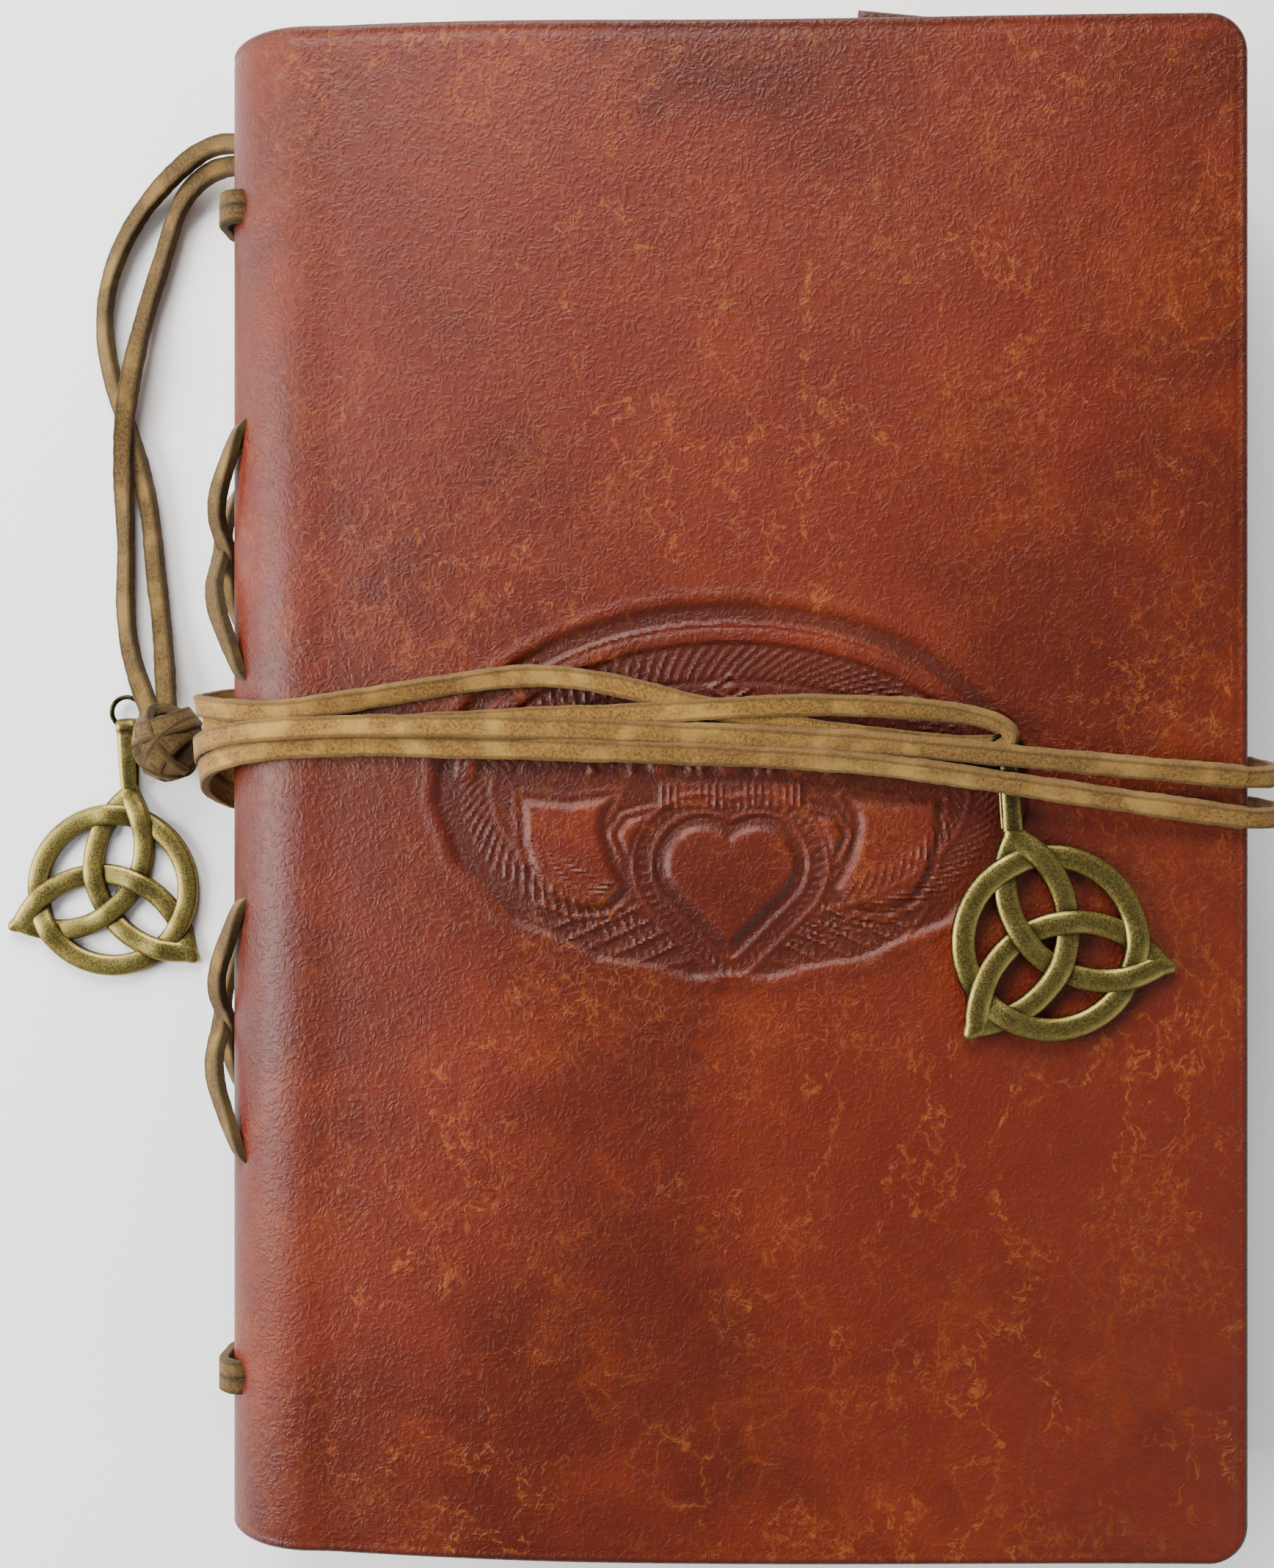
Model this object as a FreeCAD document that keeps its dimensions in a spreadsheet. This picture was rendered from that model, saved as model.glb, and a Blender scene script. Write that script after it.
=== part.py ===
import FreeCAD, Part
import Sketcher
import math
import os

from FreeCAD import Placement, Rotation, Vector

# A leather notebook cover lying on its back: front cover up (+Z), head +Y, spine on the -X side.
# The origin is under the middle of the book, on the surface it lies on. All sizes are millimetres.

DOC = FreeCAD.newDocument("notebook_cover")
SHEET = DOC.addObject("Spreadsheet::Sheet", "params")

DRIVING = {
    # the leather sheet
    "head_y": 115.0,
    "foot_y": -116.0,
    "leather": 1.3,
    "lining": 0.5,
    "back_z": 1.6,
    "spine_bend": 15.0,
    "spine_edge_x": -62.0,
    "fore_x": 77.7,
    "front_z": 31.5,
    "front_spine_x": -60.0,
    "front_spine_z": 27.2,
    "rise_x": -41.0,
    "rise_z": 29.05,
    "crown_x": -20.0,
    "crown_z": 30.1,
    "shoulder_x": -72.4,
    "shoulder_z": 23.6,
    "corner_radius": 5.8,
    # the fore-edge wall and the flap tucked under the front cover
    "wall_x": 77.0,
    "wall_top_z": 28.5,
    "wall_head_y": 111.8,
    "wall_foot_y": -113.0,
    "flap_edge_x": 20.2,
    "flap_skew": 5.2,
    "fold_gap": 0.35,
    "liner_gap": 0.05,
    "liner_short": 1.0,
    # the paper
    "signatures": 6,
    "paper_low_z": 3.6,
    "paper_high_z": 26.3,
    "paper_fold_low_z": 5.5,
    "paper_fold_high_z": 22.8,
    "paper_swell_x": -49.5,
    "paper_nose": 1.8,
    "spine_room": 1.5,
    "paper_fore_x": 74.6,
    "paper_trim": 3.0,
    "paper_gap": 0.12,
    # the suede lace: its width and thickness, and the round tube that has its section
    "lace_width": 3.0,
    "lace_thick": 1.5,
    "lace_tube": 1.4,
    "stitch_tube": 1.5,
    "stitch_hole": 2.1,
    "thread_tube": 0.6,
    # the charms
    "charm_circle": 12.6,
    "charm_band": 3.5,
    "charm_arc": 14.4,
    "charm_arc_centre": 11.95,
    "charm_thick": 2.4,
    "bail_wide": 3.2,
    "bail_narrow": 2.2,
    "bail_thick": 1.0,
    "bail_gap": 0.15,
    "bail_eye": 1.4,
    "bail_hole": 0.95,
    "ring_radius": 2.5,
    "ring_wire": 0.8,
}
for row, (alias, value) in enumerate(DRIVING.items(), start=1):
    SHEET.set(f"A{row}", alias)
    SHEET.set(f"B{row}", repr(value))
    SHEET.setAlias(f"B{row}", alias)
DOC.recompute()

SUB_PARTS = []


def size(alias):
    """A driving dimension, read from the sheet."""
    return float(SHEET.get(alias))


def bind(thing, sizes):
    """Binds several properties of one object to the sheet."""
    for name, text in sizes.items():
        thing.setExpression(name, text)


def keep(thing, label):
    """Names a finished sub-part; its label is also the name of its file."""
    thing.Label = label
    SUB_PARTS.append(thing)
    return thing


# ---------------------------------------------------------------- helpers for bodies and sketches


def new_body(label):
    return DOC.addObject("PartDesign::Body", label)


def origin_plane(body, role):
    return next(f for f in body.Origin.OriginFeatures if f.Role == role)


def new_sketch(body, role, offset=0.0):
    """A sketch on one of the body's own origin planes, moved along the plane's normal."""
    sketch = body.newObject("Sketcher::SketchObject", body.Name + "_sketch")
    sketch.AttachmentSupport = [(origin_plane(body, role), "")]
    sketch.MapMode = "FlatFace"
    sketch.AttachmentOffset = Placement(Vector(0, 0, offset), Rotation())
    return sketch


def bound_polygon(sketch, corners):
    """A closed polygon whose corners are held by expressions, given as pairs of text."""
    count = len(corners)
    start = [Vector(i, (i * i) % 7, 0) for i in range(count)]
    for i in range(count):
        sketch.addGeometry(Part.LineSegment(start[i], start[(i + 1) % count]), False)
    for i in range(count):
        sketch.addConstraint(Sketcher.Constraint("Coincident", i, 2, (i + 1) % count, 1))
    for i, (across, up) in enumerate(corners):
        for kind, text in (("DistanceX", across), ("DistanceY", up)):
            index = sketch.addConstraint(Sketcher.Constraint(kind, i, 1, 1.0))
            sketch.setExpression(f"Constraints[{index}]", text)


def pad(body, sketch, length):
    feature = body.newObject("PartDesign::Pad", body.Name + "_pad")
    feature.Profile = sketch
    feature.setExpression("Length", length)


def plate(label, corners, low_z, thickness):
    """A flat panel: a polygon in plan, padded up from low_z."""
    body = new_body(label)
    sketch = new_sketch(body, "XY_Plane")
    bound_polygon(sketch, corners)
    pad(body, sketch, thickness)
    body.setExpression("Placement.Base.z", low_z)
    return keep(body, label)


def profile_pad(label, edges, head_y, length):
    """A section in the XZ plane, padded from the head towards the foot."""
    body = new_body(label)
    sketch = new_sketch(body, "XZ_Plane", -head_y)
    sketch.addGeometry(edges, False)
    pad(body, sketch, length)
    return body


# ---------------------------------------------------------------- helpers for laces


def rounded_path(points, reach=0.45):
    """Straight runs joined by tangent arcs, each arc as large as its two runs allow."""
    route = [Vector(*p) for p in points]
    edges, radii, at = [], [], route[0]
    for before, corner, after in zip(route, route[1:], route[2:]):
        into, out = (corner - before), (after - corner)
        turn = into.getAngle(out)
        back = reach * min(into.Length, out.Length)
        radii.append(back / math.tan(turn / 2))
        enter = corner - into.normalize() * back
        leave = corner + out.normalize() * back
        middle_way = (out - into).normalize()
        centre = corner + middle_way * (radii[-1] / math.cos(turn / 2))
        middle = centre - middle_way * radii[-1]
        edges += [Part.LineSegment(at, enter), Part.Arc(enter, middle, leave)]
        at = leave
    edges.append(Part.LineSegment(at, route[-1]))
    return Part.Wire([e.toShape() for e in edges]), radii


def tube(points, diameter):
    """A round tube along a rounded path, with its volume compared with section times length."""
    path, radii = rounded_path(points)
    first = Vector(*points[1]) - Vector(*points[0])
    ring = Part.Wire([Part.makeCircle(diameter / 2, Vector(*points[0]), first)])
    solid = path.makePipeShell([ring], True, False)
    expected = math.pi * diameter**2 / 4 * path.Length
    if abs(solid.Volume - expected) > 0.03 * expected:
        raise RuntimeError(f"a tube's volume is {solid.Volume:.1f}, not {expected:.1f}")
    return solid, path.Length, radii


def lace(label, routes, diameter=None):
    """One node of one or more laces, each a tube along its own route."""
    thick = diameter or size("lace_tube")
    solids = []
    for points in routes:
        solid, length, radii = tube(points, thick)
        solids.append(solid)
        spread = ", ".join(f"{r:.1f}" for r in radii)
        print(f"{label}: {length:.1f} mm of lace, arc radii {spread}")
    feature = DOC.addObject("Part::Feature", label)
    feature.Shape = solids[0] if len(solids) == 1 else Part.makeCompound(solids)
    feature.Placement = Placement()
    return keep(feature, label)


def fused_lace(label, routes, diameter):
    """Laces that cross through the same holes, as one solid."""
    solids = [tube(points, diameter)[0] for points in routes]
    feature = DOC.addObject("Part::Feature", label)
    feature.Shape = solids[0].fuse(solids[1:]).removeSplitter() if solids[1:] else solids[0]
    feature.Placement = Placement()
    return keep(feature, label)


# ---------------------------------------------------------------- the spine's section


def front_line(inset):
    """The front cover's section line: it curves up from the spine and runs straight to the fore-edge."""
    drop = Vector(0, inset, 0)
    start = Vector(size("front_spine_x"), size("front_spine_z"), 0) - drop
    rise = Vector(size("rise_x"), size("rise_z"), 0) - drop
    crown = Vector(size("crown_x"), size("crown_z"), 0) - drop
    end = Vector(size("fore_x"), size("front_z"), 0) - drop
    return start, rise, crown, end


def front_section(outer_inset, inner_inset):
    """A closed section between two insets of the front cover's line."""
    top = front_line(outer_inset)
    low = front_line(inner_inset)
    return [
        Part.LineSegment(low[0], top[0]),
        Part.Arc(top[0], top[1], top[2]),
        Part.LineSegment(top[2], top[3]),
        Part.LineSegment(top[3], low[3]),
        Part.LineSegment(low[3], low[2]),
        Part.Arc(low[2], low[1], low[0]),
    ]


def spine_line(inset):
    """The spine's section line: a quarter round from the back, then a softer curve to the front cover."""
    bend = size("spine_bend")
    edge_x, mid_z = size("spine_edge_x"), size("back_z") + bend
    reach = bend - inset
    start = Vector(edge_x, mid_z - reach, 0)
    quarter = Vector(edge_x - reach * math.sqrt(0.5), mid_z - reach * math.sqrt(0.5), 0)
    apex = Vector(edge_x - reach, mid_z, 0)
    inwards = Vector(1, -1, 0) * (inset * math.sqrt(0.5))
    shoulder = Vector(size("shoulder_x"), size("shoulder_z"), 0) + inwards
    end = Vector(size("front_spine_x") - size("fold_gap"), size("front_spine_z") - 0.1 - inset, 0)
    return start, quarter, apex, shoulder, end


def spine_section(outer_inset, inner_inset):
    """A closed section between two insets of the spine's line."""
    out, low = spine_line(outer_inset), spine_line(inner_inset)
    return [
        Part.Arc(out[0], out[1], out[2]),
        Part.Arc(out[2], out[3], out[4]),
        Part.LineSegment(out[4], low[4]),
        Part.Arc(low[4], low[3], low[2]),
        Part.Arc(low[2], low[1], low[0]),
        Part.LineSegment(low[0], out[0]),
    ]


# Lacing stations along the spine, from the head, and the two rows of holes in the section.
HEAD_STITCH_Y = 90.0
UPPER_X = (56.5, 16.8)
LOWER_X = (-17.6, -57.8)
FOOT_STITCH_Y = -91.6
STATIONS = (HEAD_STITCH_Y, *UPPER_X, *LOWER_X, FOOT_STITCH_Y)
BOOKMARK_Y = 101.0
WRAP_OUT_Y = -1.2
SEWING_STATIONS = (74.0, 36.0, -37.0, -75.0)
# Each row: a point on the leather's outer face, and the way out of it.
FRONT_ROW = (Vector(-75.0, 0, 21.2), Vector(-0.84, 0, 0.54))
BACK_ROW = (Vector(-74.6, 0, 8.6), Vector(-0.84, 0, -0.54))


def row_point(row, y, outwards):
    face, way = row
    spot = face + way.normalize() * outwards
    return (spot.x, y, spot.z)


def hole_cutter(row, y, diameter):
    start = Vector(*row_point(row, y, -6.0))
    return Part.makeCylinder(diameter / 2, 12.0, start, Vector(row[1]))


def spine_layer(label, outer_inset, inner_inset, hole):
    """One layer of the spine, with its lacing holes and the two cord outlets."""
    body = profile_pad(
        label + "_blank",
        spine_section(outer_inset, inner_inset),
        size("head_y"),
        "params.head_y - params.foot_y",
    )
    cutters = [hole_cutter(row, y, hole) for y in STATIONS for row in (FRONT_ROW, BACK_ROW)]
    outlet = 2.2 * size("lace_width")
    cutters.append(hole_cutter(BACK_ROW, BOOKMARK_Y, outlet))
    cutters.append(hole_cutter(BACK_ROW, WRAP_OUT_Y, outlet))
    holes = DOC.addObject("Part::Feature", label + "_holes")
    holes.Shape = Part.makeCompound(cutters)
    cut = DOC.addObject("Part::Cut", label)
    cut.Base = body
    cut.Tool = holes
    return keep(cut, label)


# ---------------------------------------------------------------- the leather sheet


def back_panel():
    corners = [
        ("params.spine_edge_x", "params.foot_y"),
        ("params.wall_x - params.leather - params.fold_gap", "params.foot_y"),
        ("params.wall_x - params.leather - params.fold_gap", "params.head_y"),
        ("params.spine_edge_x", "params.head_y"),
    ]
    plate("back_cover", corners, "params.back_z", "params.leather")
    plate(
        "back_lining",
        corners,
        "params.back_z + params.leather + params.liner_gap",
        "params.lining - params.liner_gap",
    )


def front_outline():
    """The front cover in plan, tall enough to trim a layer: its two free corners are round."""
    low, high = size("foot_y"), size("head_y")
    spine, fore, radius = size("front_spine_x"), size("fore_x"), size("corner_radius")
    slack = radius * (1 - math.sqrt(0.5))
    round_x = fore - radius
    foot_start, foot_end = Vector(round_x, low, 0), Vector(fore, low + radius, 0)
    head_start, head_end = Vector(fore, high - radius, 0), Vector(round_x, high, 0)
    edges = [
        Part.LineSegment(Vector(spine, low, 0), foot_start),
        Part.Arc(foot_start, Vector(fore - slack, low + slack, 0), foot_end),
        Part.LineSegment(foot_end, head_start),
        Part.Arc(head_start, Vector(fore - slack, high - slack, 0), head_end),
        Part.LineSegment(head_end, Vector(spine, high, 0)),
        Part.LineSegment(Vector(spine, high, 0), Vector(spine, low, 0)),
    ]
    face = Part.Face(Part.Wire([edge.toShape() for edge in edges]))
    outline = DOC.addObject("Part::Feature", "front_outline")
    outline.Shape = face.extrude(Vector(0, 0, 2 * size("front_z")))
    return outline


def front_panel():
    leather, lining = size("leather"), size("lining")
    layers = {
        "front_cover": (0.0, leather),
        "front_lining": (leather + size("liner_gap"), leather + lining),
    }
    outline = front_outline()
    for label, (outer, inner) in layers.items():
        blank = profile_pad(
            label + "_blank", front_section(outer, inner), size("head_y"), "params.head_y - params.foot_y"
        )
        trimmed = DOC.addObject("Part::Common", label)
        trimmed.Base = blank
        trimmed.Tool = outline
        keep(trimmed, label)


def spine_panels():
    leather, lining = size("leather"), size("lining")
    spine_layer("spine", 0.0, leather, size("stitch_hole"))
    spine_layer("spine_lining", leather + size("liner_gap"), leather + lining, size("stitch_hole"))


def wall_and_flap():
    """The sheet goes on up the fore-edge and folds in under the front cover."""
    wall = DOC.addObject("Part::Box", "fore_edge_wall")
    wall_sizes = {
        "Length": "params.leather",
        "Width": "params.wall_head_y - params.wall_foot_y",
        "Height": "params.wall_top_z - params.back_z - 2 * params.fold_gap - params.leather",
        "Placement.Base.x": "params.wall_x - params.leather",
        "Placement.Base.y": "params.wall_foot_y",
        "Placement.Base.z": "params.back_z + params.fold_gap",
    }
    bind(wall, wall_sizes)
    keep(wall, "fore_edge_wall")
    liner = DOC.addObject("Part::Box", "fore_edge_lining")
    liner_sizes = {
        "Length": "params.lining - params.liner_gap",
        "Width": "params.wall_head_y - params.wall_foot_y",
        "Height": "params.wall_top_z - params.back_z - 2 * params.leather - 2 * params.liner_short",
        "Placement.Base.x": "params.wall_x - params.leather - params.lining",
        "Placement.Base.y": "params.wall_foot_y",
        "Placement.Base.z": "params.back_z + params.leather + params.liner_short",
    }
    bind(liner, liner_sizes)
    keep(liner, "fore_edge_lining")
    corners = [
        ("params.wall_x", "params.wall_foot_y"),
        ("params.wall_x", "params.wall_head_y"),
        ("params.flap_edge_x", "params.wall_head_y + params.flap_skew"),
        ("params.flap_edge_x", "params.wall_foot_y + params.flap_skew"),
    ]
    plate("flap", corners, "params.wall_top_z - params.leather", "params.leather")
    inner = [
        ("params.wall_x - params.leather", "params.wall_foot_y"),
        ("params.wall_x - params.leather", "params.wall_head_y"),
        ("params.flap_edge_x", "params.wall_head_y + params.flap_skew"),
        ("params.flap_edge_x", "params.wall_foot_y + params.flap_skew"),
    ]
    plate(
        "flap_lining",
        inner,
        "params.wall_top_z - params.leather - params.lining",
        "params.lining - params.liner_gap",
    )


# ---------------------------------------------------------------- the paper and its sewing


def spine_inside(z):
    """The X of the spine's inner face at a height, with room for the paper."""
    start, quarter, apex, shoulder, end = spine_line(size("leather") + size("lining") + size("spine_room"))
    if z < apex.y:
        centre, radius = Vector(start.x, apex.y, 0), apex.y - start.y
    else:
        arc = Part.Arc(apex, shoulder, end).toShape().Curve
        centre, radius = arc.Center, arc.Radius
    return centre.x - math.sqrt(max(radius**2 - (z - centre.y) ** 2, 0.0))


def signatures():
    """Folded paper blocks, stacked: each is thinner at its fold, where the spine draws it in."""
    count = int(size("signatures"))
    swell_x, fore, gap = size("paper_swell_x"), size("paper_fore_x"), size("paper_gap")
    deepest = spine_inside(size("back_z") + size("spine_bend"))

    def boundary(number, x):
        """The height between two neighbouring signatures, at an X on the spine side of the swell."""
        share = number / count
        outer = size("paper_low_z") + share * (size("paper_high_z") - size("paper_low_z"))
        inner = size("paper_fold_low_z") + share * (size("paper_fold_high_z") - size("paper_fold_low_z"))
        return outer + (inner - outer) * (swell_x - x) / (swell_x - deepest)

    for i in range(count):
        low, high = boundary(i, swell_x), boundary(i + 1, swell_x) - gap
        fold = deepest
        for _ in range(8):
            fold_low, fold_high = boundary(i, fold), boundary(i + 1, fold) - gap
            fold = max(spine_inside(fold_low), spine_inside(fold_high)) + 0.5 * size("paper_nose")
        fold_low, fold_high = boundary(i, fold), boundary(i + 1, fold) - gap
        nose_z = (fold_low + fold_high) / 2
        nose_x = max(fold - 0.45 * (fold_high - fold_low), spine_inside(nose_z))
        edges = [
            Part.LineSegment(Vector(fore, low, 0), Vector(fore, high, 0)),
            Part.LineSegment(Vector(fore, high, 0), Vector(swell_x, high, 0)),
            Part.LineSegment(Vector(swell_x, high, 0), Vector(fold, fold_high, 0)),
            Part.Arc(Vector(fold, fold_high, 0), Vector(nose_x, nose_z, 0), Vector(fold, fold_low, 0)),
            Part.LineSegment(Vector(fold, fold_low, 0), Vector(swell_x, low, 0)),
            Part.LineSegment(Vector(swell_x, low, 0), Vector(fore, low, 0)),
        ]
        label = f"signature_{i + 1}"
        body = profile_pad(
            label,
            edges,
            size("head_y") - size("paper_trim"),
            "params.head_y - params.foot_y - 2 * params.paper_trim",
        )
        keep(body, label)
        print(f"{label}: fold corner x {fold:.2f}, nose x {nose_x:.2f}, z {fold_low:.2f}..{fold_high:.2f}")


def sewing_thread():
    """Stitches of thread behind the middle folds, one upright at each sewing station."""
    x, low, high = -74.3, 14.4, 17.8
    solids = []
    for y in SEWING_STATIONS:
        run = Part.makeCylinder(size("thread_tube") / 2, high - low, Vector(x, y, low))
        solids.append(run)
    feature = DOC.addObject("Part::Feature", "sewing_thread")
    feature.Shape = Part.makeCompound(solids)
    feature.Placement = Placement()
    keep(feature, "sewing_thread")


# ---------------------------------------------------------------- the spine's lacing


def stitch_route(y_front, y_back, stand_off):
    """Out of the front row, round the spine's apex and in at the back row."""
    middle = (y_front + y_back) / 2
    quarter = (y_front - y_back) / 4
    return [
        row_point(FRONT_ROW, y_front, -2.4),
        row_point(FRONT_ROW, y_front, 1.5),
        (-76.9 - stand_off, middle + quarter, 18.9),
        (-77.0 - stand_off, middle - quarter, 13.0),
        row_point(BACK_ROW, y_back, 1.5),
        row_point(BACK_ROW, y_back, -2.4),
    ]


def spine_lacing():
    thick = size("stitch_tube")
    for label, y in (("head_stitch", HEAD_STITCH_Y), ("foot_stitch", FOOT_STITCH_Y)):
        fused_lace(label, [stitch_route(y + 0.01, y - 0.01, 1.35)], thick)
    for label, (high, low) in (("upper_cross_lace", UPPER_X), ("lower_cross_lace", LOWER_X)):
        fused_lace(
            label, [stitch_route(high, low, 1.5), stitch_route(low, high, 1.5)], thick
        )


# ---------------------------------------------------------------- the wrap cord
# One suede lace, doubled. The pair leaves the spine, crosses the front, goes round the fore-edge, across
# the back, round the spine again, and ends on the front as a loop that holds a ring and a charm.

# From the spine's outlet, round to the front cover.
ANCHOR_UPPER = [(-73.0, 0.1, 9.57), (-77.4, 0.8, 6.8), (-81.2, 2.8, 8.8), (-83.0, 5.2, 15.5),
                (-80.4, 6.9, 22.0), (-73.9, 8.2, 26.6), (-65.5, 8.8, 29.2), (-54.1, 9.1, 30.1)]
ANCHOR_LOWER = [(-73.0, -2.5, 9.57), (-77.4, -2.4, 6.8), (-80.6, -1.2, 8.8), (-82.2, 1.2, 15.5),
                (-79.7, 3.5, 21.6), (-73.6, 5.2, 26.0), (-65.5, 6.0, 28.1), (-54.1, 6.3, 28.9)]
# Across the front cover.
FRONT_UPPER = [(-53.9, 9.1, 30.1), (-32.6, 9.0, 31.7), (-11.4, 8.1, 31.4), (16.8, 6.9, 32.9),
               (34.0, 5.3, 34.9), (50.0, 3.7, 34.9), (76.5, 1.4, 33.0)]
FRONT_LOWER = [(-53.9, 6.3, 28.9), (-32.6, 5.8, 30.6), (-11.4, 5.2, 31.2), (16.8, 4.0, 32.1),
               (34.0, 1.7, 34.3), (50.0, -0.9, 34.3), (76.5, -4.6, 33.0)]
# Round the fore-edge to the back.
EDGE_UPPER = [(76.5, 1.4, 33.0), (80.6, 1.3, 31.9), (81.4, 1.6, 27.0), (80.6, 2.3, 15.0), (80.0, 3.0, 5.0),
              (78.4, 3.3, 1.2), (74.1, 3.6, 0.8)]
EDGE_LOWER = [(76.5, -4.6, 33.0), (80.8, -4.8, 31.9), (81.7, -4.6, 27.0), (80.8, -3.8, 15.0), (80.2, -3.0, 5.0),
              (78.6, -2.7, 1.2), (74.1, -2.4, 0.8)]
# Across the back, as flat strips in plan.
BACK_UPPER = [(73.9, 3.6), (20.0, 8.4), (-62.0, 15.2)]
BACK_LOWER = [(73.9, -2.4), (20.0, 3.4), (-62.0, 11.6)]
# Round the spine from the back to the front.
TURN_UPPER = [(-62.2, 15.2, 0.8), (-69.6, 15.4, 1.2), (-79.2, 14.6, 5.0), (-83.2, 12.9, 14.0),
              (-80.6, 12.4, 21.4), (-74.2, 11.4, 25.6), (-65.5, 11.3, 28.1), (-54.1, 13.2, 29.0)]
TURN_LOWER = [(-62.2, 11.6, 0.8), (-69.6, 11.5, 1.1), (-78.6, 10.9, 4.8), (-82.0, 10.2, 13.0),
              (-79.9, 9.9, 20.2), (-73.9, 9.3, 25.2), (-65.5, 8.7, 28.1), (-54.1, 8.8, 28.8)]
# The loop's two legs on the front cover, joined at the ring.
TAIL = [(-53.9, 13.2, 29.0), (-42.0, 15.2, 30.0), (-29.0, 16.9, 30.7), (-18.0, 15.6, 31.0), (-7.0, 12.7, 31.3),
        (6.0, 9.8, 31.5), (18.0, 7.7, 31.6), (29.0, 6.5, 31.9), (37.0, 5.9, 32.1), (42.0, 6.1, 32.6),
        (41.4, 8.9, 33.2), (36.6, 10.6, 33.2), (28.0, 11.6, 32.8), (14.6, 12.2, 32.4), (0.4, 11.7, 32.4),
        (-14.0, 10.7, 31.5), (-33.0, 10.2, 30.7), (-53.9, 8.8, 28.8)]


def strip(points, width):
    """A flat strip's outline in plan, along points, as an extrudable face."""
    sides = []
    for turn in (1, -1):
        side = []
        for i, (x, y) in enumerate(points):
            before, after = points[max(i - 1, 0)], points[min(i + 1, len(points) - 1)]
            way = Vector(after[0] - before[0], after[1] - before[1], 0).normalize()
            side.append(Vector(x, y, 0) + Vector(-way.y, way.x, 0) * (turn * width / 2))
        sides.append(side)
    return Part.Face(Part.makePolygon(sides[0] + sides[1][::-1] + [sides[0][0]]))


def knot(label, centre, radii, facing=Vector(1, 0, 0)):
    """A knot as a plain rounded lump: a ball drawn out to its radii, its first axis facing one way."""
    stretch = FreeCAD.Matrix()
    stretch.scale(*radii)
    feature = DOC.addObject("Part::Feature", label)
    feature.Shape = Part.makeSphere(1.0).transformGeometry(stretch)
    feature.Placement = Placement(centre, Rotation(Vector(1, 0, 0), facing))
    keep(feature, label)


def stopper_knot(label, y):
    """The flat knot inside the spine that keeps a pair of laces from pulling out of its outlet."""
    centre = Vector(size("spine_edge_x"), y, size("back_z") + size("spine_bend"))
    way = Vector(BACK_ROW[1]).normalize()
    knot(label, centre + way * 12.45, (0.55, 4.0, 3.9), way)


def wrap_cord():
    lace("wrap_anchor_turn", [ANCHOR_UPPER, ANCHOR_LOWER])
    lace("wrap_front_run", [FRONT_UPPER, FRONT_LOWER])
    lace("wrap_fore_edge_turn", [EDGE_UPPER, EDGE_LOWER])
    lace("wrap_spine_turn", [TURN_UPPER, TURN_LOWER])
    lace("wrap_tail", [TAIL])
    for label, points in (("wrap_back_run_upper", BACK_UPPER), ("wrap_back_run_lower", BACK_LOWER)):
        feature = DOC.addObject("Part::Feature", label)
        feature.Shape = strip(points, size("lace_width")).extrude(Vector(0, 0, size("lace_thick")))
        feature.Placement = Placement()
        keep(feature, label)
    stopper_knot("wrap_anchor_knot", WRAP_OUT_Y)


# ---------------------------------------------------------------- the bookmark cord
# The same lace, doubled: out of the spine near the head, down beside the book, and into a knot.

LEG_LEFT = [(-73.0, 102.3, 9.57), (-77.6, 102.6, 6.8), (-83.6, 103.0, 4.4), (-90.4, 100.2, 2.2),
            (-96.9, 94.9, 1.0), (-100.9, 86.6, 1.0), (-102.5, 77.6, 1.0), (-100.9, 67.6, 1.0),
            (-97.2, 57.0, 1.0), (-94.5, 46.4, 1.0), (-93.6, 35.4, 1.0), (-92.2, 24.6, 1.6), (-91.0, 14.6, 3.6)]
LEG_RIGHT = [(-73.0, 99.7, 9.57), (-77.8, 99.5, 6.8), (-84.6, 98.7, 4.0), (-89.6, 95.2, 2.0),
             (-92.2, 88.4, 1.2), (-95.1, 79.6, 1.5), (-97.0, 70.2, 2.9), (-98.6, 60.4, 2.9), (-98.9, 49.8, 1.4),
             (-98.4, 39.4, 1.0), (-98.8, 29.6, 1.0), (-97.4, 19.6, 1.7), (-94.0, 12.4, 4.0)]


def bookmark_cord():
    lace("bookmark_lace_left", [LEG_LEFT])
    lace("bookmark_lace_right", [LEG_RIGHT])
    knot("bookmark_knot", Vector(-90.6, 7.4, 5.7), (5.3, 6.6, 5.3))
    stopper_knot("bookmark_anchor_knot", BOOKMARK_Y)


# ---------------------------------------------------------------- the charms


def disc(radius, spot=Vector()):
    return Part.Face(Part.Wire([Part.makeCircle(radius, spot)]))


def arc_band(centre, radius, low, high, width):
    """A flat band along an arc, as a face; low and high are its angles in degrees."""

    def at(reach, degrees):
        turn = math.radians(degrees)
        return centre + Vector(math.cos(turn), math.sin(turn), 0) * reach

    outer, inner, middle = radius + width / 2, radius - width / 2, (low + high) / 2
    edges = [
        Part.Arc(at(outer, low), at(outer, middle), at(outer, high)).toShape(),
        Part.LineSegment(at(outer, high), at(inner, high)).toShape(),
        Part.Arc(at(inner, high), at(inner, middle), at(inner, low)).toShape(),
        Part.LineSegment(at(inner, low), at(outer, low)).toShape(),
    ]
    return Part.Face(Part.Wire(edges))


def polar(radius, degrees):
    turn = math.radians(degrees)
    return Vector(math.cos(turn), math.sin(turn), 0) * radius


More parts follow.
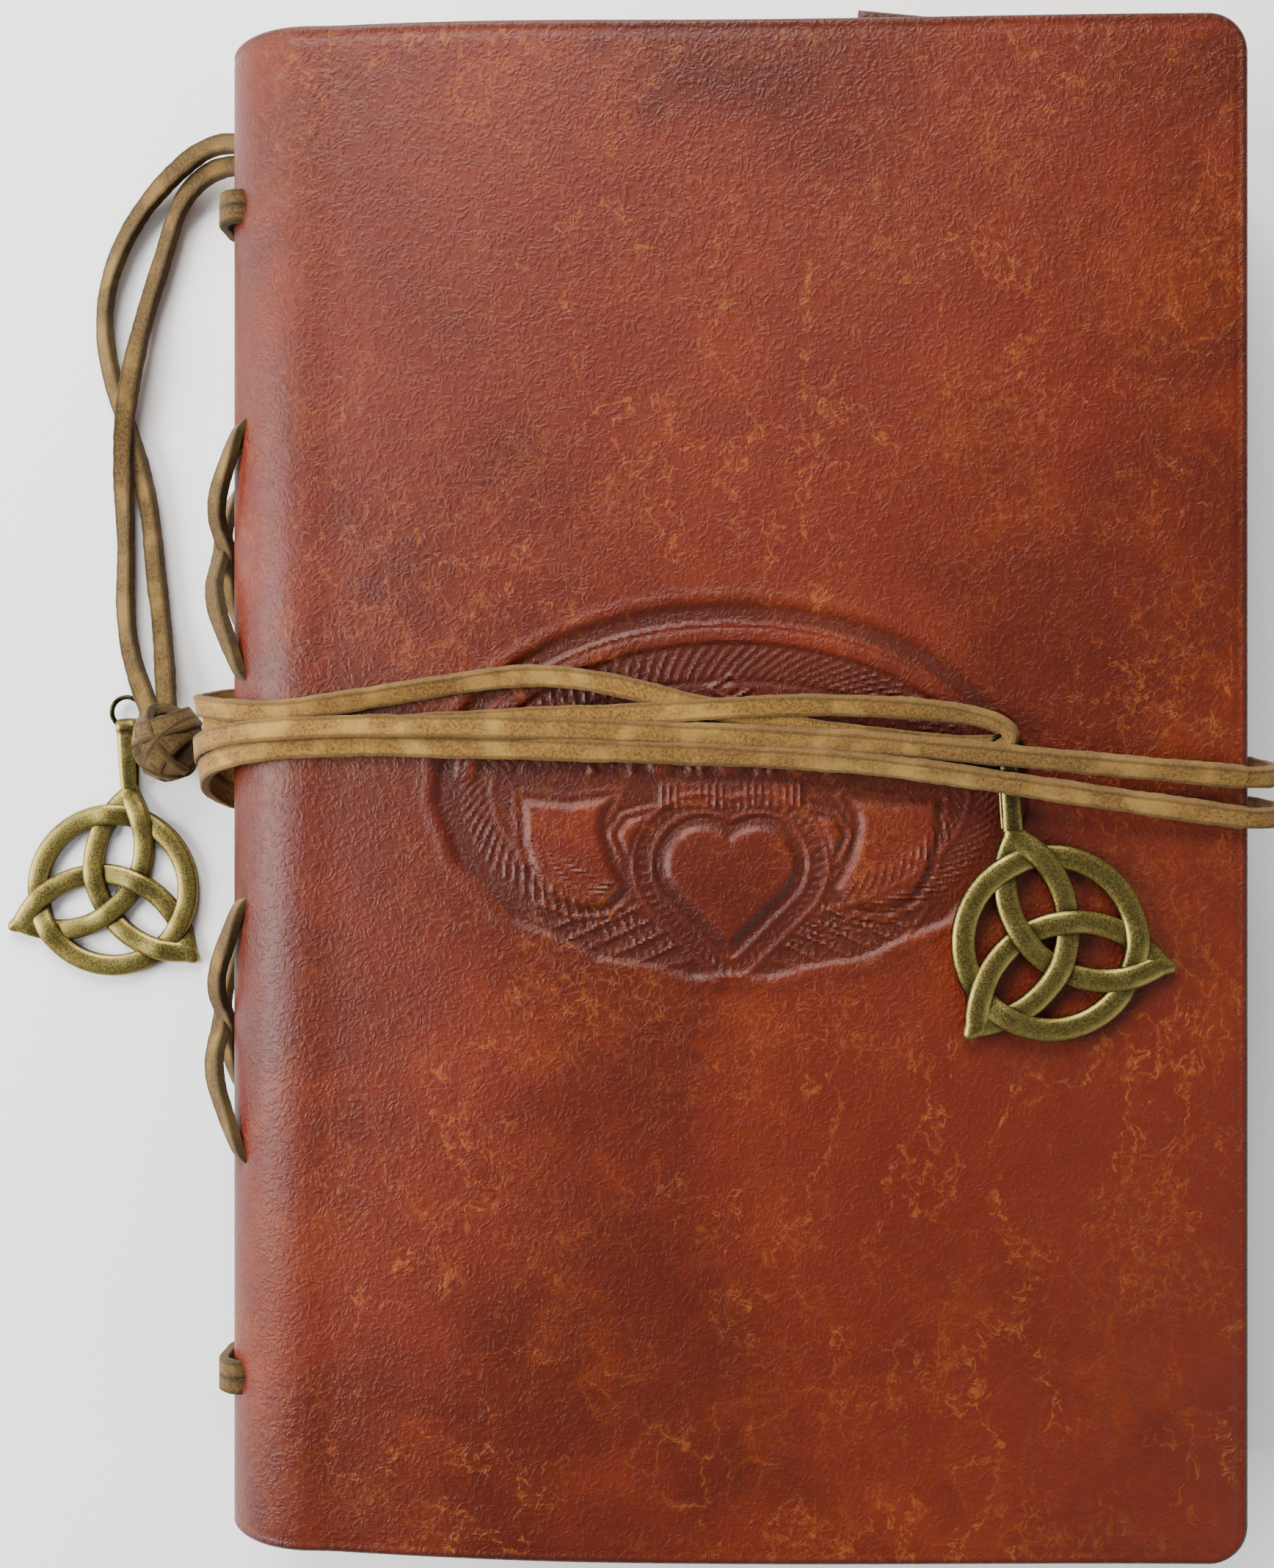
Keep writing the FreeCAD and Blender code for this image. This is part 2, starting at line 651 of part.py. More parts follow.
def knotwork():
    """Three arcs that meet in three tips, over a circle: one charm about the origin, with a tip at +Y."""
    width, reach = size("charm_band"), size("charm_arc_centre")
    circle, arc = size("charm_circle"), size("charm_arc")
    # A tip lies where two neighbouring arcs meet.
    tip = (reach + math.sqrt(4 * arc**2 - 3 * reach**2)) / 2
    tip_radius, tip_out = 0.46 * width, tip + 0.45
    faces = [disc(circle + width / 2).cut(disc(circle - width / 2))]
    for i in range(3):
        away = 30 + 120 * i
        centre = polar(reach, away)
        ends = []
        for side in (60, -60):
            spot = polar(tip, away + side) - centre
            ends.append(math.degrees(math.atan2(spot.y, spot.x)))
        low, high = ends
        while high < low:
            high += 360
        faces.append(arc_band(centre, arc, low, high, width))
        faces.append(disc(tip_radius, polar(tip_out, 90 + 120 * i)))
    up = Vector(0, 0, size("charm_thick"))
    solids = [face.extrude(up) for face in faces]
    return solids[0].multiFuse(solids[1:]).removeSplitter(), tip_out + tip_radius


def charm(label, centre, turn):
    shape, top = knotwork()
    feature = DOC.addObject("Part::Feature", label)
    feature.Shape = shape
    feature.Placement = Placement(centre, Rotation(Vector(0, 0, 1), turn))
    keep(feature, label)
    return centre + Rotation(Vector(0, 0, 1), turn).multVec(Vector(0, top + size("bail_gap"), 0))


def bail(label, foot, eye):
    """A tapered strap from the charm's tip to an eye, rolled round the ring's wire."""
    along = Vector(eye.x - foot.x, eye.y - foot.y, 0)
    length = along.Length
    turn = math.degrees(math.atan2(-along.x, along.y))
    wide, narrow = size("bail_wide") / 2, size("bail_narrow") / 2
    thick, rolled, hole = size("bail_thick"), size("bail_eye"), size("bail_hole")
    low = eye.z - thick / 2
    outline = [Vector(wide, 0, low), Vector(narrow, length, low), Vector(-narrow, length, low)]
    outline += [Vector(-wide, 0, low), Vector(wide, 0, low)]
    strap = Part.Face(Part.makePolygon(outline)).extrude(Vector(0, 0, thick))
    start, across = Vector(-narrow, length, eye.z), Vector(1, 0, 0)
    eyelet = Part.makeCylinder(rolled, 2 * narrow, start, across)
    bore = Part.makeCylinder(hole, 4 * narrow, start - across * narrow, across)
    feature = DOC.addObject("Part::Feature", label)
    feature.Shape = strap.fuse(eyelet).cut(bore)
    feature.Placement = Placement(Vector(foot.x, foot.y, 0), Rotation(Vector(0, 0, 1), turn))
    keep(feature, label)


def pendant(number, centre, turn, ring_spot):
    """A charm, the bail on its upper tip and the ring that the lace runs through."""
    foot = charm(f"charm_{number}", centre, turn)
    inward = Vector(foot.x - ring_spot.x, foot.y - ring_spot.y, 0).normalize()
    bail(f"bail_{number}", foot, ring_spot + inward * size("ring_radius"))
    ring = DOC.addObject("Part::Torus", f"ring_{number}")
    bind(ring, {"Radius1": "params.ring_radius", "Radius2": "params.ring_wire / 2"})
    ring.Placement = Placement(ring_spot, Rotation())
    keep(ring, f"ring_{number}")


def pendants():
    pendant(1, Vector(-100.7, -17.6, 0.0), -5.0, Vector(-98.4, 12.4, 1.45))
    pendant(2, Vector(47.6, -23.2, 31.6), 21.5, Vector(41.4, 5.2, 32.55))


# ---------------------------------------------------------------- build, check, write


def check_document():
    for thing in DOC.Objects:
        state = [word for word in thing.State if word in ("Invalid", "Error")]
        if state:
            raise RuntimeError(f"{thing.Label} is {state}")
    for part in SUB_PARTS:
        if part.Shape.isNull() or not part.Shape.isValid() or not part.Shape.Solids:
            raise RuntimeError(f"{part.Label} has no valid solid")


def write_parts():
    os.makedirs("parts", exist_ok=True)
    for part in SUB_PARTS:
        part.Shape.exportStep(f"parts/{part.Label}.step")
        box = part.Shape.optimalBoundingBox(False, False)
        print(
            f"{part.Label}: x {box.XMin:.2f}..{box.XMax:.2f}  y {box.YMin:.2f}..{box.YMax:.2f}"
            f"  z {box.ZMin:.2f}..{box.ZMax:.2f}  {len(part.Shape.Solids)} solid(s)"
        )


back_panel()
spine_panels()
front_panel()
wall_and_flap()
signatures()
sewing_thread()
spine_lacing()
wrap_cord()
bookmark_cord()
pendants()
DOC.recompute()
check_document()
write_parts()
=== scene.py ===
import math

import bpy
import numpy as np
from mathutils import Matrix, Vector


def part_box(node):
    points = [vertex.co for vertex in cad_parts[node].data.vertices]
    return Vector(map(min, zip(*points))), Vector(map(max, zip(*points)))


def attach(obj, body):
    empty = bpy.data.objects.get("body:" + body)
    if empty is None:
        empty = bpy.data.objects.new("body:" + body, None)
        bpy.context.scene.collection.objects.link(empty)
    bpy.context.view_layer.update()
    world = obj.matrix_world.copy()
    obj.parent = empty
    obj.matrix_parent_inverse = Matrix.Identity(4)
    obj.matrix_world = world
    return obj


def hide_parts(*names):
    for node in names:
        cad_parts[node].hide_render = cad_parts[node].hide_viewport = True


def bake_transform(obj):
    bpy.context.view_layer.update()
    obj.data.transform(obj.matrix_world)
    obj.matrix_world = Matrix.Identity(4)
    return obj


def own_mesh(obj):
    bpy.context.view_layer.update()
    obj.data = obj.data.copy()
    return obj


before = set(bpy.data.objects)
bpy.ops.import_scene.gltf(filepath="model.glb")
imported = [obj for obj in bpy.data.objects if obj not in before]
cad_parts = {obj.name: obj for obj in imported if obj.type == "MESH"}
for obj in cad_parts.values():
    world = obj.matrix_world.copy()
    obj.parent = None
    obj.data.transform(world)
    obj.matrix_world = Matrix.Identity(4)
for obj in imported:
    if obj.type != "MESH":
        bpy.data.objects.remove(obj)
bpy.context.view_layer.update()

MM = 0.001
RNG = np.random.default_rng(11)

# ------------------------------------------------------------------ camera, light, floor

eye = bpy.data.objects.new("camera", bpy.data.cameras.new("camera"))
bpy.context.scene.collection.objects.link(eye)
eye.location = (-0.0132, 0.0004, 0.2735)
eye.rotation_euler = (0.0, 0.0, 0.0)
eye.data.lens = 37.4
eye.data.sensor_width = 36.0
eye.data.clip_start = 0.01
bpy.context.scene.camera = eye


def area_light(name, spot, aim, size, power, tint=(1.0, 1.0, 1.0)):
    lamp = bpy.data.lights.new(name, "AREA")
    lamp.shape, lamp.size, lamp.energy, lamp.color = "SQUARE", size, power, tint
    thing = bpy.data.objects.new(name, lamp)
    thing.location = spot
    thing.rotation_euler = (Vector(aim) - Vector(spot)).to_track_quat("-Z", "Y").to_euler()
    bpy.context.scene.collection.objects.link(thing)
    return thing


area_light("key", (-0.22, 0.70, 0.46), (0.0, 0.02, 0.02), 0.50, 15.0, (1.0, 0.985, 0.96))
area_light("spine_side", (-0.72, 0.0, 0.40), (-0.05, 0.0, 0.02), 0.45, 14.0)
area_light("fore_side", (0.62, -0.42, 0.42), (0.02, 0.0, 0.02), 0.50, 1.8)

world = bpy.data.worlds.new("studio")
bpy.context.scene.world = world
world.use_nodes = True
world.node_tree.nodes["Background"].inputs["Color"].default_value = (1.0, 1.0, 1.0, 1.0)
world.node_tree.nodes["Background"].inputs["Strength"].default_value = 0.38


# ------------------------------------------------------------------ materials


class Nodes:
    """Short calls for building one material's node tree."""

    def __init__(self, name):
        self.material = bpy.data.materials.new(name)
        self.material.use_nodes = True
        self.tree = self.material.node_tree
        self.shader = self.tree.nodes["Principled BSDF"]

    def add(self, kind, props=None, **sockets):
        node = self.tree.nodes.new(kind)
        for key, value in (props or {}).items():
            setattr(node, key, value)
        for key, value in sockets.items():
            self.put(node.inputs[key.replace("_", " ")], value)
        return node

    def put(self, socket, value):
        if isinstance(value, bpy.types.NodeSocket):
            self.tree.links.new(value, socket)
        elif isinstance(value, tuple) and len(value) == 3 and socket.type == "RGBA":
            socket.default_value = (*value, 1.0)
        else:
            socket.default_value = value

    def set(self, **sockets):
        for key, value in sockets.items():
            self.put(self.shader.inputs[key.replace("_", " ")], value)

    def place(self, scale=1000.0):
        """The object's own coordinates, in millimetres at the default scale."""
        spot = self.add("ShaderNodeTexCoord").outputs["Object"]
        return self.vector("MULTIPLY", spot, (scale, scale, scale))

    def vector(self, way, a, b):
        node = self.add("ShaderNodeVectorMath", {"operation": way})
        self.put(node.inputs[0], a)
        self.put(node.inputs[1], b)
        return node.outputs[0]

    def math(self, way, a, b=0.0, clamp=False):
        node = self.add("ShaderNodeMath", {"operation": way, "use_clamp": clamp})
        self.put(node.inputs[0], a)
        self.put(node.inputs[1], b)
        return node.outputs[0]

    def noise(self, spot, scale, detail=3.0, rough=0.5, colour=False):
        node = self.add("ShaderNodeTexNoise", Vector=spot, Scale=scale, Detail=detail, Roughness=rough)
        return node.outputs["Color" if colour else "Fac"]

    def cells(self, spot, scale, feature="F1"):
        node = self.add("ShaderNodeTexVoronoi", {"feature": feature}, Vector=spot, Scale=scale)
        return node.outputs["Distance"]

    def span(self, value, low, high, out_low=0.0, out_high=1.0):
        node = self.add("ShaderNodeMapRange", {"interpolation_type": "SMOOTHSTEP"})
        for index, item in enumerate((value, low, high, out_low, out_high)):
            self.put(node.inputs[index], item)
        return node.outputs[0]

    def mix(self, share, a, b, way="MIX"):
        node = self.add("ShaderNodeMix", {"data_type": "RGBA", "blend_type": way})
        self.put(node.inputs[0], share)
        self.put(node.inputs[6], a)
        self.put(node.inputs[7], b)
        return node.outputs[2]

    def field(self, name):
        return self.add("ShaderNodeAttribute", {"attribute_name": name}).outputs["Fac"]

    def bump(self, height, strength, distance):
        node = self.add("ShaderNodeBump", Height=height, Strength=strength, Distance=distance)
        self.put(self.shader.inputs["Normal"], node.outputs["Normal"])


def wander(n, spot, scale, reach):
    """Coordinates pushed about by noise, so that patterns over them look grown."""
    push = n.vector("SUBTRACT", n.noise(spot, scale, 2.0, colour=True), (0.5, 0.5, 0.5))
    return n.vector("ADD", spot, n.vector("MULTIPLY", push, (reach, reach, reach)))


def leather_material(name, dark, mid, light, vein):
    n = Nodes(name)
    spot = n.place()
    broad = wander(n, spot, 0.035, 30.0)
    warped = wander(n, wander(n, spot, 0.10, 9.0), 0.55, 2.4)
    jagged = wander(n, wander(n, spot, 0.30, 4.0), 1.4, 0.9)
    slanted = n.add("ShaderNodeMapping", Vector=warped, Rotation=(0.0, 0.0, 0.55), Scale=(1.0, 0.55, 1.0))
    slanted = slanted.outputs[0]
    cloud = n.noise(broad, 0.020, 4.0, 0.55)
    tone = n.mix(n.span(cloud, 0.36, 0.60), dark, mid)
    tone = n.mix(n.span(n.noise(warped, 0.05, 5.0, 0.65), 0.46, 0.74, 0.0, 0.6), tone, light)
    # pulled-up creases: cracks of three sizes and wandering wrinkles, each in its own patches
    def crack(place, scale, line, glow):
        gap = n.cells(place, scale, "DISTANCE_TO_EDGE")
        thin, wide = n.span(gap, 0.0, line, 1.0, 0.0), n.span(gap, 0.0, glow, 0.16, 0.0)
        return n.math("MAXIMUM", thin, wide)
    def wrinkle(place, scale, width):
        level = n.math("ABSOLUTE", n.math("SUBTRACT", n.noise(place, scale, 5.0, 0.62), 0.5))
        return n.span(level, 0.0, width, 1.0, 0.0)
    def patch(shift, scale, low, high):
        return n.span(n.noise(n.vector("ADD", broad, shift), scale, 4.0, 0.6), low, high)
    # each is (lines, the patches that they show in, how strong)
    parts = [
        (wrinkle(slanted, 0.055, 0.014), patch((0.0, 0.0, 0.0), 0.022, 0.48, 0.64), 0.80),
        (wrinkle(n.vector("ADD", warped, (40.0, 9.0, 3.0)), 0.12, 0.018),
         patch((61.0, 17.0, 5.0), 0.028, 0.47, 0.64),
         0.70),
        (crack(slanted, 0.20, 0.045, 0.22), patch((23.0, 51.0, 5.0), 0.024, 0.51, 0.68), 0.60),
        (crack(jagged, 0.50, 0.10, 0.30), patch((9.0, 83.0, 2.0), 0.030, 0.49, 0.68), 0.50),
        (crack(jagged, 0.95, 0.16, 0.40), patch((77.0, 31.0, 8.0), 0.034, 0.50, 0.68), 0.30)]
    veins = None
    for line, where, strong in parts:
        one = n.math("MULTIPLY", n.math("MULTIPLY", line, where), strong)
        veins = one if veins is None else n.math("MAXIMUM", veins, one)
    broken = n.span(n.noise(spot, 0.55, 4.0, 0.65), 0.36, 0.62, 0.12, 1.0)
    veins = n.math("MULTIPLY", veins, broken)
    tone = n.mix(veins, tone, vein)
    # pressed lines, the border crease and the dents by the lacing holes are painted darker by depth, as
    # painted shade in the recesses; the border is burnished
    press, rim = n.field("press"), n.field("rim")
    tone = n.mix(n.span(press, -0.10, -0.62, 0.0, 0.50), tone, (0.022, 0.0028, 0.0010))
    burnish = n.span(rim, 0.0, 1.7, 0.66, 0.0)
    tone = n.mix(burnish, tone, (0.030, 0.0042, 0.0016))
    n.set(Base_Color=tone)
    pebble = n.span(n.cells(jagged, 1.15), 0.0, 0.75)
    grain = n.noise(spot, 2.6, 4.0, 0.65)
    height = n.math("ADD", n.math("MULTIPLY", pebble, -0.60), n.math("MULTIPLY", grain, 0.55))
    height = n.math("SUBTRACT", height, n.math("MULTIPLY", veins, 0.30))
    n.bump(height, 0.55, 0.00024)
    rough = n.math("ADD", n.span(cloud, 0.3, 0.7, 0.40, 0.50), n.math("MULTIPLY", veins, 0.12))
    n.set(Roughness=rough, Specular_IOR_Level=0.26, Coat_Weight=0.05, Coat_Roughness=0.26)
    return n.material


def lining_material():
    n = Nodes("lining_leather")
    spot = n.place()
    cloud = n.noise(spot, 0.05, 4.0, 0.6)
    n.set(Base_Color=n.mix(n.span(cloud, 0.3, 0.7), (0.13, 0.045, 0.016), (0.20, 0.080, 0.030)))
    fibre = n.math("ADD", n.noise(spot, 1.6, 5.0, 0.7), n.cells(spot, 0.9))
    n.bump(fibre, 0.35, 0.0002)
    n.set(Roughness=0.86, Specular_IOR_Level=0.25)
    return n.material


def suede_material(name, shade, face, light):
    n = Nodes(name)
    spot = n.place()
    nap = n.noise(spot, 2.2, 6.0, 0.72)
    fuzz = n.noise(spot, 7.5, 3.0, 0.6)
    tone = n.mix(n.span(nap, 0.30, 0.68), shade, face)
    tone = n.mix(n.span(n.noise(spot, 0.16, 3.0), 0.45, 0.72, 0.0, 0.6), tone, light)
    tone = n.mix(n.span(fuzz, 0.52, 0.76, 0.0, 0.45), tone, light)
    # the lace's edge-on sides are painted darker toward the shade colour: painted shade
    tone = n.mix(n.span(n.field("side"), 0.35, 0.8, 0.0, 0.62), tone, shade)
    n.set(Base_Color=tone)
    n.bump(n.math("ADD", n.math("MULTIPLY", nap, 0.7), fuzz), 0.75, 0.00028)
    n.set(Roughness=0.93, Specular_IOR_Level=0.12, Sheen_Weight=0.10, Sheen_Roughness=0.5)
    return n.material


def brass_material(name, recess, body, bright):
    n = Nodes(name)
    spot = n.place()
    patina = n.noise(spot, 0.55, 5.0, 0.66)
    speck = n.noise(spot, 3.4, 4.0, 0.7)
    tone = n.mix(n.span(n.math("ADD", patina, n.math("MULTIPLY", speck, 0.55)), 0.72, 0.88), recess, body)
    # the edges are painted bright: partly rubbed wear, partly painted highlight along the bevels
    wear_and_highlight = n.math("MULTIPLY", n.span(n.field("wear_and_highlight"), 0.25, 0.95), n.span(speck, 0.30, 0.62, 0.45, 1.0))
    tone = n.mix(n.math("MULTIPLY", wear_and_highlight, 0.85), tone, bright)
    tone = n.mix(n.span(n.field("sunk"), 0.15, 0.95, 0.0, 0.80), tone, recess)
    n.set(Base_Color=tone, Metallic=0.92)
    n.bump(n.math("ADD", speck, n.math("MULTIPLY", patina, 0.8)), 0.30, 0.00016)
    n.set(Roughness=n.span(speck, 0.3, 0.7, 0.28, 0.50))
    return n.material


def paper_material():
    n = Nodes("paper")
    spot = n.place()
    fibre = n.noise(spot, 1.4, 5.0, 0.7)
    layer = n.noise(n.vector("MULTIPLY", spot, (0.15, 0.15, 6.0)), 1.0, 3.0)
    tone = n.mix(n.span(fibre, 0.3, 0.7), (0.70, 0.60, 0.43), (0.80, 0.72, 0.55))
    n.set(Base_Color=n.mix(n.span(layer, 0.55, 0.75, 0.0, 0.35), tone, (0.52, 0.42, 0.27)))
    n.bump(fibre, 0.25, 0.00012)
    n.set(Roughness=0.88, Specular_IOR_Level=0.25)
    return n.material


def thread_material():
    n = Nodes("thread")
    spot = n.place()
    ply = n.add("ShaderNodeTexWave", {"bands_direction": "DIAGONAL"}, Vector=spot, Scale=3.0, Distortion=1.5)
    n.set(Base_Color=n.mix(ply.outputs["Fac"], (0.52, 0.44, 0.30), (0.72, 0.64, 0.48)))
    n.bump(ply.outputs["Fac"], 0.5, 0.0001)
    n.set(Roughness=0.7)
    return n.material


def floor_material():
    n = Nodes("floor")
    spot = n.place(30.0)
    n.set(Base_Color=n.mix(n.noise(spot, 0.6, 2.0), (0.93, 0.93, 0.93), (0.95, 0.95, 0.95)), Roughness=0.9)
    return n.material


LEATHER = leather_material("cover_leather", (0.062, 0.0056, 0.0005), (0.098, 0.0086, 0.0007),
                           (0.142, 0.0175, 0.0017),
                           (0.235, 0.060, 0.0075))
LINING = lining_material()
SUEDE = suede_material("suede_lace", (0.080, 0.043, 0.012), (0.34, 0.175, 0.040), (0.52, 0.31, 0.080))
SUEDE_DARK = suede_material("suede_mark", (0.032, 0.019, 0.006), (0.145, 0.082, 0.023), (0.27, 0.162, 0.046))
BRASS = brass_material("antique_brass", (0.006, 0.0046, 0.0020), (0.046, 0.0345, 0.0100),
                       (0.33, 0.255, 0.070))
PAPER = paper_material()
THREAD = thread_material()

floor_mesh = bpy.data.meshes.new("floor")
floor_mesh.from_pydata([(-3, -3, -0.0001), (3, -3, -0.0001), (3, 3, -0.0001), (-3, 3, -0.0001)], [],
                       [(0, 1, 2, 3)])
floor = bpy.data.objects.new("floor", floor_mesh)
bpy.context.scene.collection.objects.link(floor)
floor_mesh.materials.append(floor_material())


# ------------------------------------------------------------------ meshes


def mesh_piece(name, spots, faces, material, fields=None, smooth=True, sharp=35.0):
    """A new mesh in metres from points in millimetres."""
    mesh = bpy.data.meshes.new(name)
    mesh.from_pydata((np.asarray(spots, float) * MM).tolist(), [], [list(map(int, f)) for f in faces])
    for key, values in (fields or {}).items():
        layer = mesh.attributes.new(key, "FLOAT", "POINT")
        layer.data.foreach_set("value", np.asarray(values, np.float32))
    mesh.materials.append(material)
    mesh.validate()
    thing = bpy.data.objects.new(name, mesh)
    bpy.context.scene.collection.objects.link(thing)
    if smooth:
        mesh.polygons.foreach_set("use_smooth", [True] * len(mesh.polygons))
        mesh.set_sharp_from_angle(angle=math.radians(sharp))
    mesh.update()
    return thing


def unit(rows):
    """Vectors, one a row, at length 1."""
    return rows / np.linalg.norm(rows, axis=1)[:, None]


def run_along(line):
    """How far each point of a line is along it."""
    return np.r_[0, np.cumsum(np.linalg.norm(np.diff(line, axis=0), axis=1))]


def skin(base, count, size, closed=False, turned=False):
    """Faces over count rings of size points each, from the point numbered base, with its ends shut."""
    faces = []
    for k in range(count if closed else count - 1):
        here, there = base + k * size, base + (k + 1) % count * size
        for i in range(size):
            face = (here + i, here + (i + 1) % size, there + (i + 1) % size, there + i)
            faces.append((face[0], *face[:0:-1]) if turned else face)
    if not closed:
        first, last = ([base + k * size + i for i in range(size)] for k in (0, count - 1))
        faces += [first, last[::-1]] if turned else [first[::-1], last]
    return faces


def stand_in(piece, node, body):
    """The piece rides on a body, in place of a CAD node."""
    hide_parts(node)
    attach(piece, body)
    return piece


def finish_node(name, material):
    """A CAD node that is shown as it is gets a material."""
    for slot_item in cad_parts[name].material_slots:
        slot_item.material = material


def circle_through(a, b, c):
    """Centre and radius of the circle through three points of a plane."""
    (ax, ay), (bx, by), (cx, cy) = a, b, c
    d = 2 * (ax * (by - cy) + bx * (cy - ay) + cx * (ay - by))
    ux = ((ax**2 + ay**2) * (by - cy) + (bx**2 + by**2) * (cy - ay) + (cx**2 + cy**2) * (ay - by)) / d
    uy = ((ax**2 + ay**2) * (cx - bx) + (bx**2 + by**2) * (ax - cx) + (cx**2 + cy**2) * (bx - ax)) / d
    return (ux, uy), math.hypot(ax - ux, ay - uy)


def arc_points(a, b, c, count):
    """Points along the arc from a through b to c."""
    (ux, uy), radius = circle_through(a, b, c)
    t0, t1, t2 = (math.atan2(p[1] - uy, p[0] - ux) for p in (a, b, c))
    while t1 - t0 > math.pi:
        t1 -= 2 * math.pi
    while t1 - t0 < -math.pi:
        t1 += 2 * math.pi
    while t2 - t1 > math.pi:
        t2 -= 2 * math.pi
    while t2 - t1 < -math.pi:
        t2 += 2 * math.pi
    turns = np.linspace(t0, t2, count)
    return np.stack([ux + radius * np.cos(turns), uy + radius * np.sin(turns)], 1)


class Profile:
    """A section line in XZ, evenly sampled and softened, with its normals to the left of its way."""

    def __init__(self, pieces, soften=1.6, step=0.2):
        line = np.concatenate(pieces)
        keep = np.r_[True, np.linalg.norm(np.diff(line, axis=0), axis=1) > 1e-6]
        line = line[keep]
        run = run_along(line)
        even = np.arange(0, run[-1] + step / 2, step)
        line = np.stack([np.interp(even, run, line[:, k]) for k in range(2)], 1)
        reach = int(4 * soften / step)
        weights = np.exp(-0.5 * (np.arange(-reach, reach + 1) * step / soften) ** 2)
        weights /= weights.sum()
        padded = np.concatenate([2 * line[0] - line[reach:0:-1], line,
                                 2 * line[-1] - line[-2 : -reach - 2 : -1]])
        self.line = np.stack([np.convolve(padded[:, k], weights, "valid") for k in range(2)], 1)
        self.run = run_along(self.line)
        way = unit(np.gradient(self.line, axis=0))
        self.normal = np.stack([-way[:, 1], way[:, 0]], 1)
        self.length = self.run[-1]

    def at(self, s, lift=0.0):
        """X and Z at arc lengths s, moved along the normal."""
        spot = [np.interp(s, self.run, self.line[:, k]) for k in range(2)]
        normal = [np.interp(s, self.run, self.normal[:, k]) for k in range(2)]
        return spot[0] + normal[0] * lift, spot[1] + normal[1] * lift


def rows_between(low, high, spacing, extra=(), border=(0.0, 0.15, 0.4, 0.8, 1.2, 1.6, 2.3)):
    """Row positions: closer together at both ends and about each extra position."""
    rows = list(np.arange(low + 3.0, high - 3.0 + 1e-6, spacing))
    rows += [low + b for b in border] + [high - b for b in border]
    for y in extra:
        rows += [y + d for d in (-2.2, -1.4, -0.8, -0.3, 0.3, 0.8, 1.4, 2.2)]
    rows = sorted(rows)
    kept = [rows[0]]
    for y in rows[1:]:
        if y - kept[-1] > 0.1:
            kept.append(y)
    kept[-1] = high
    return np.array(kept)


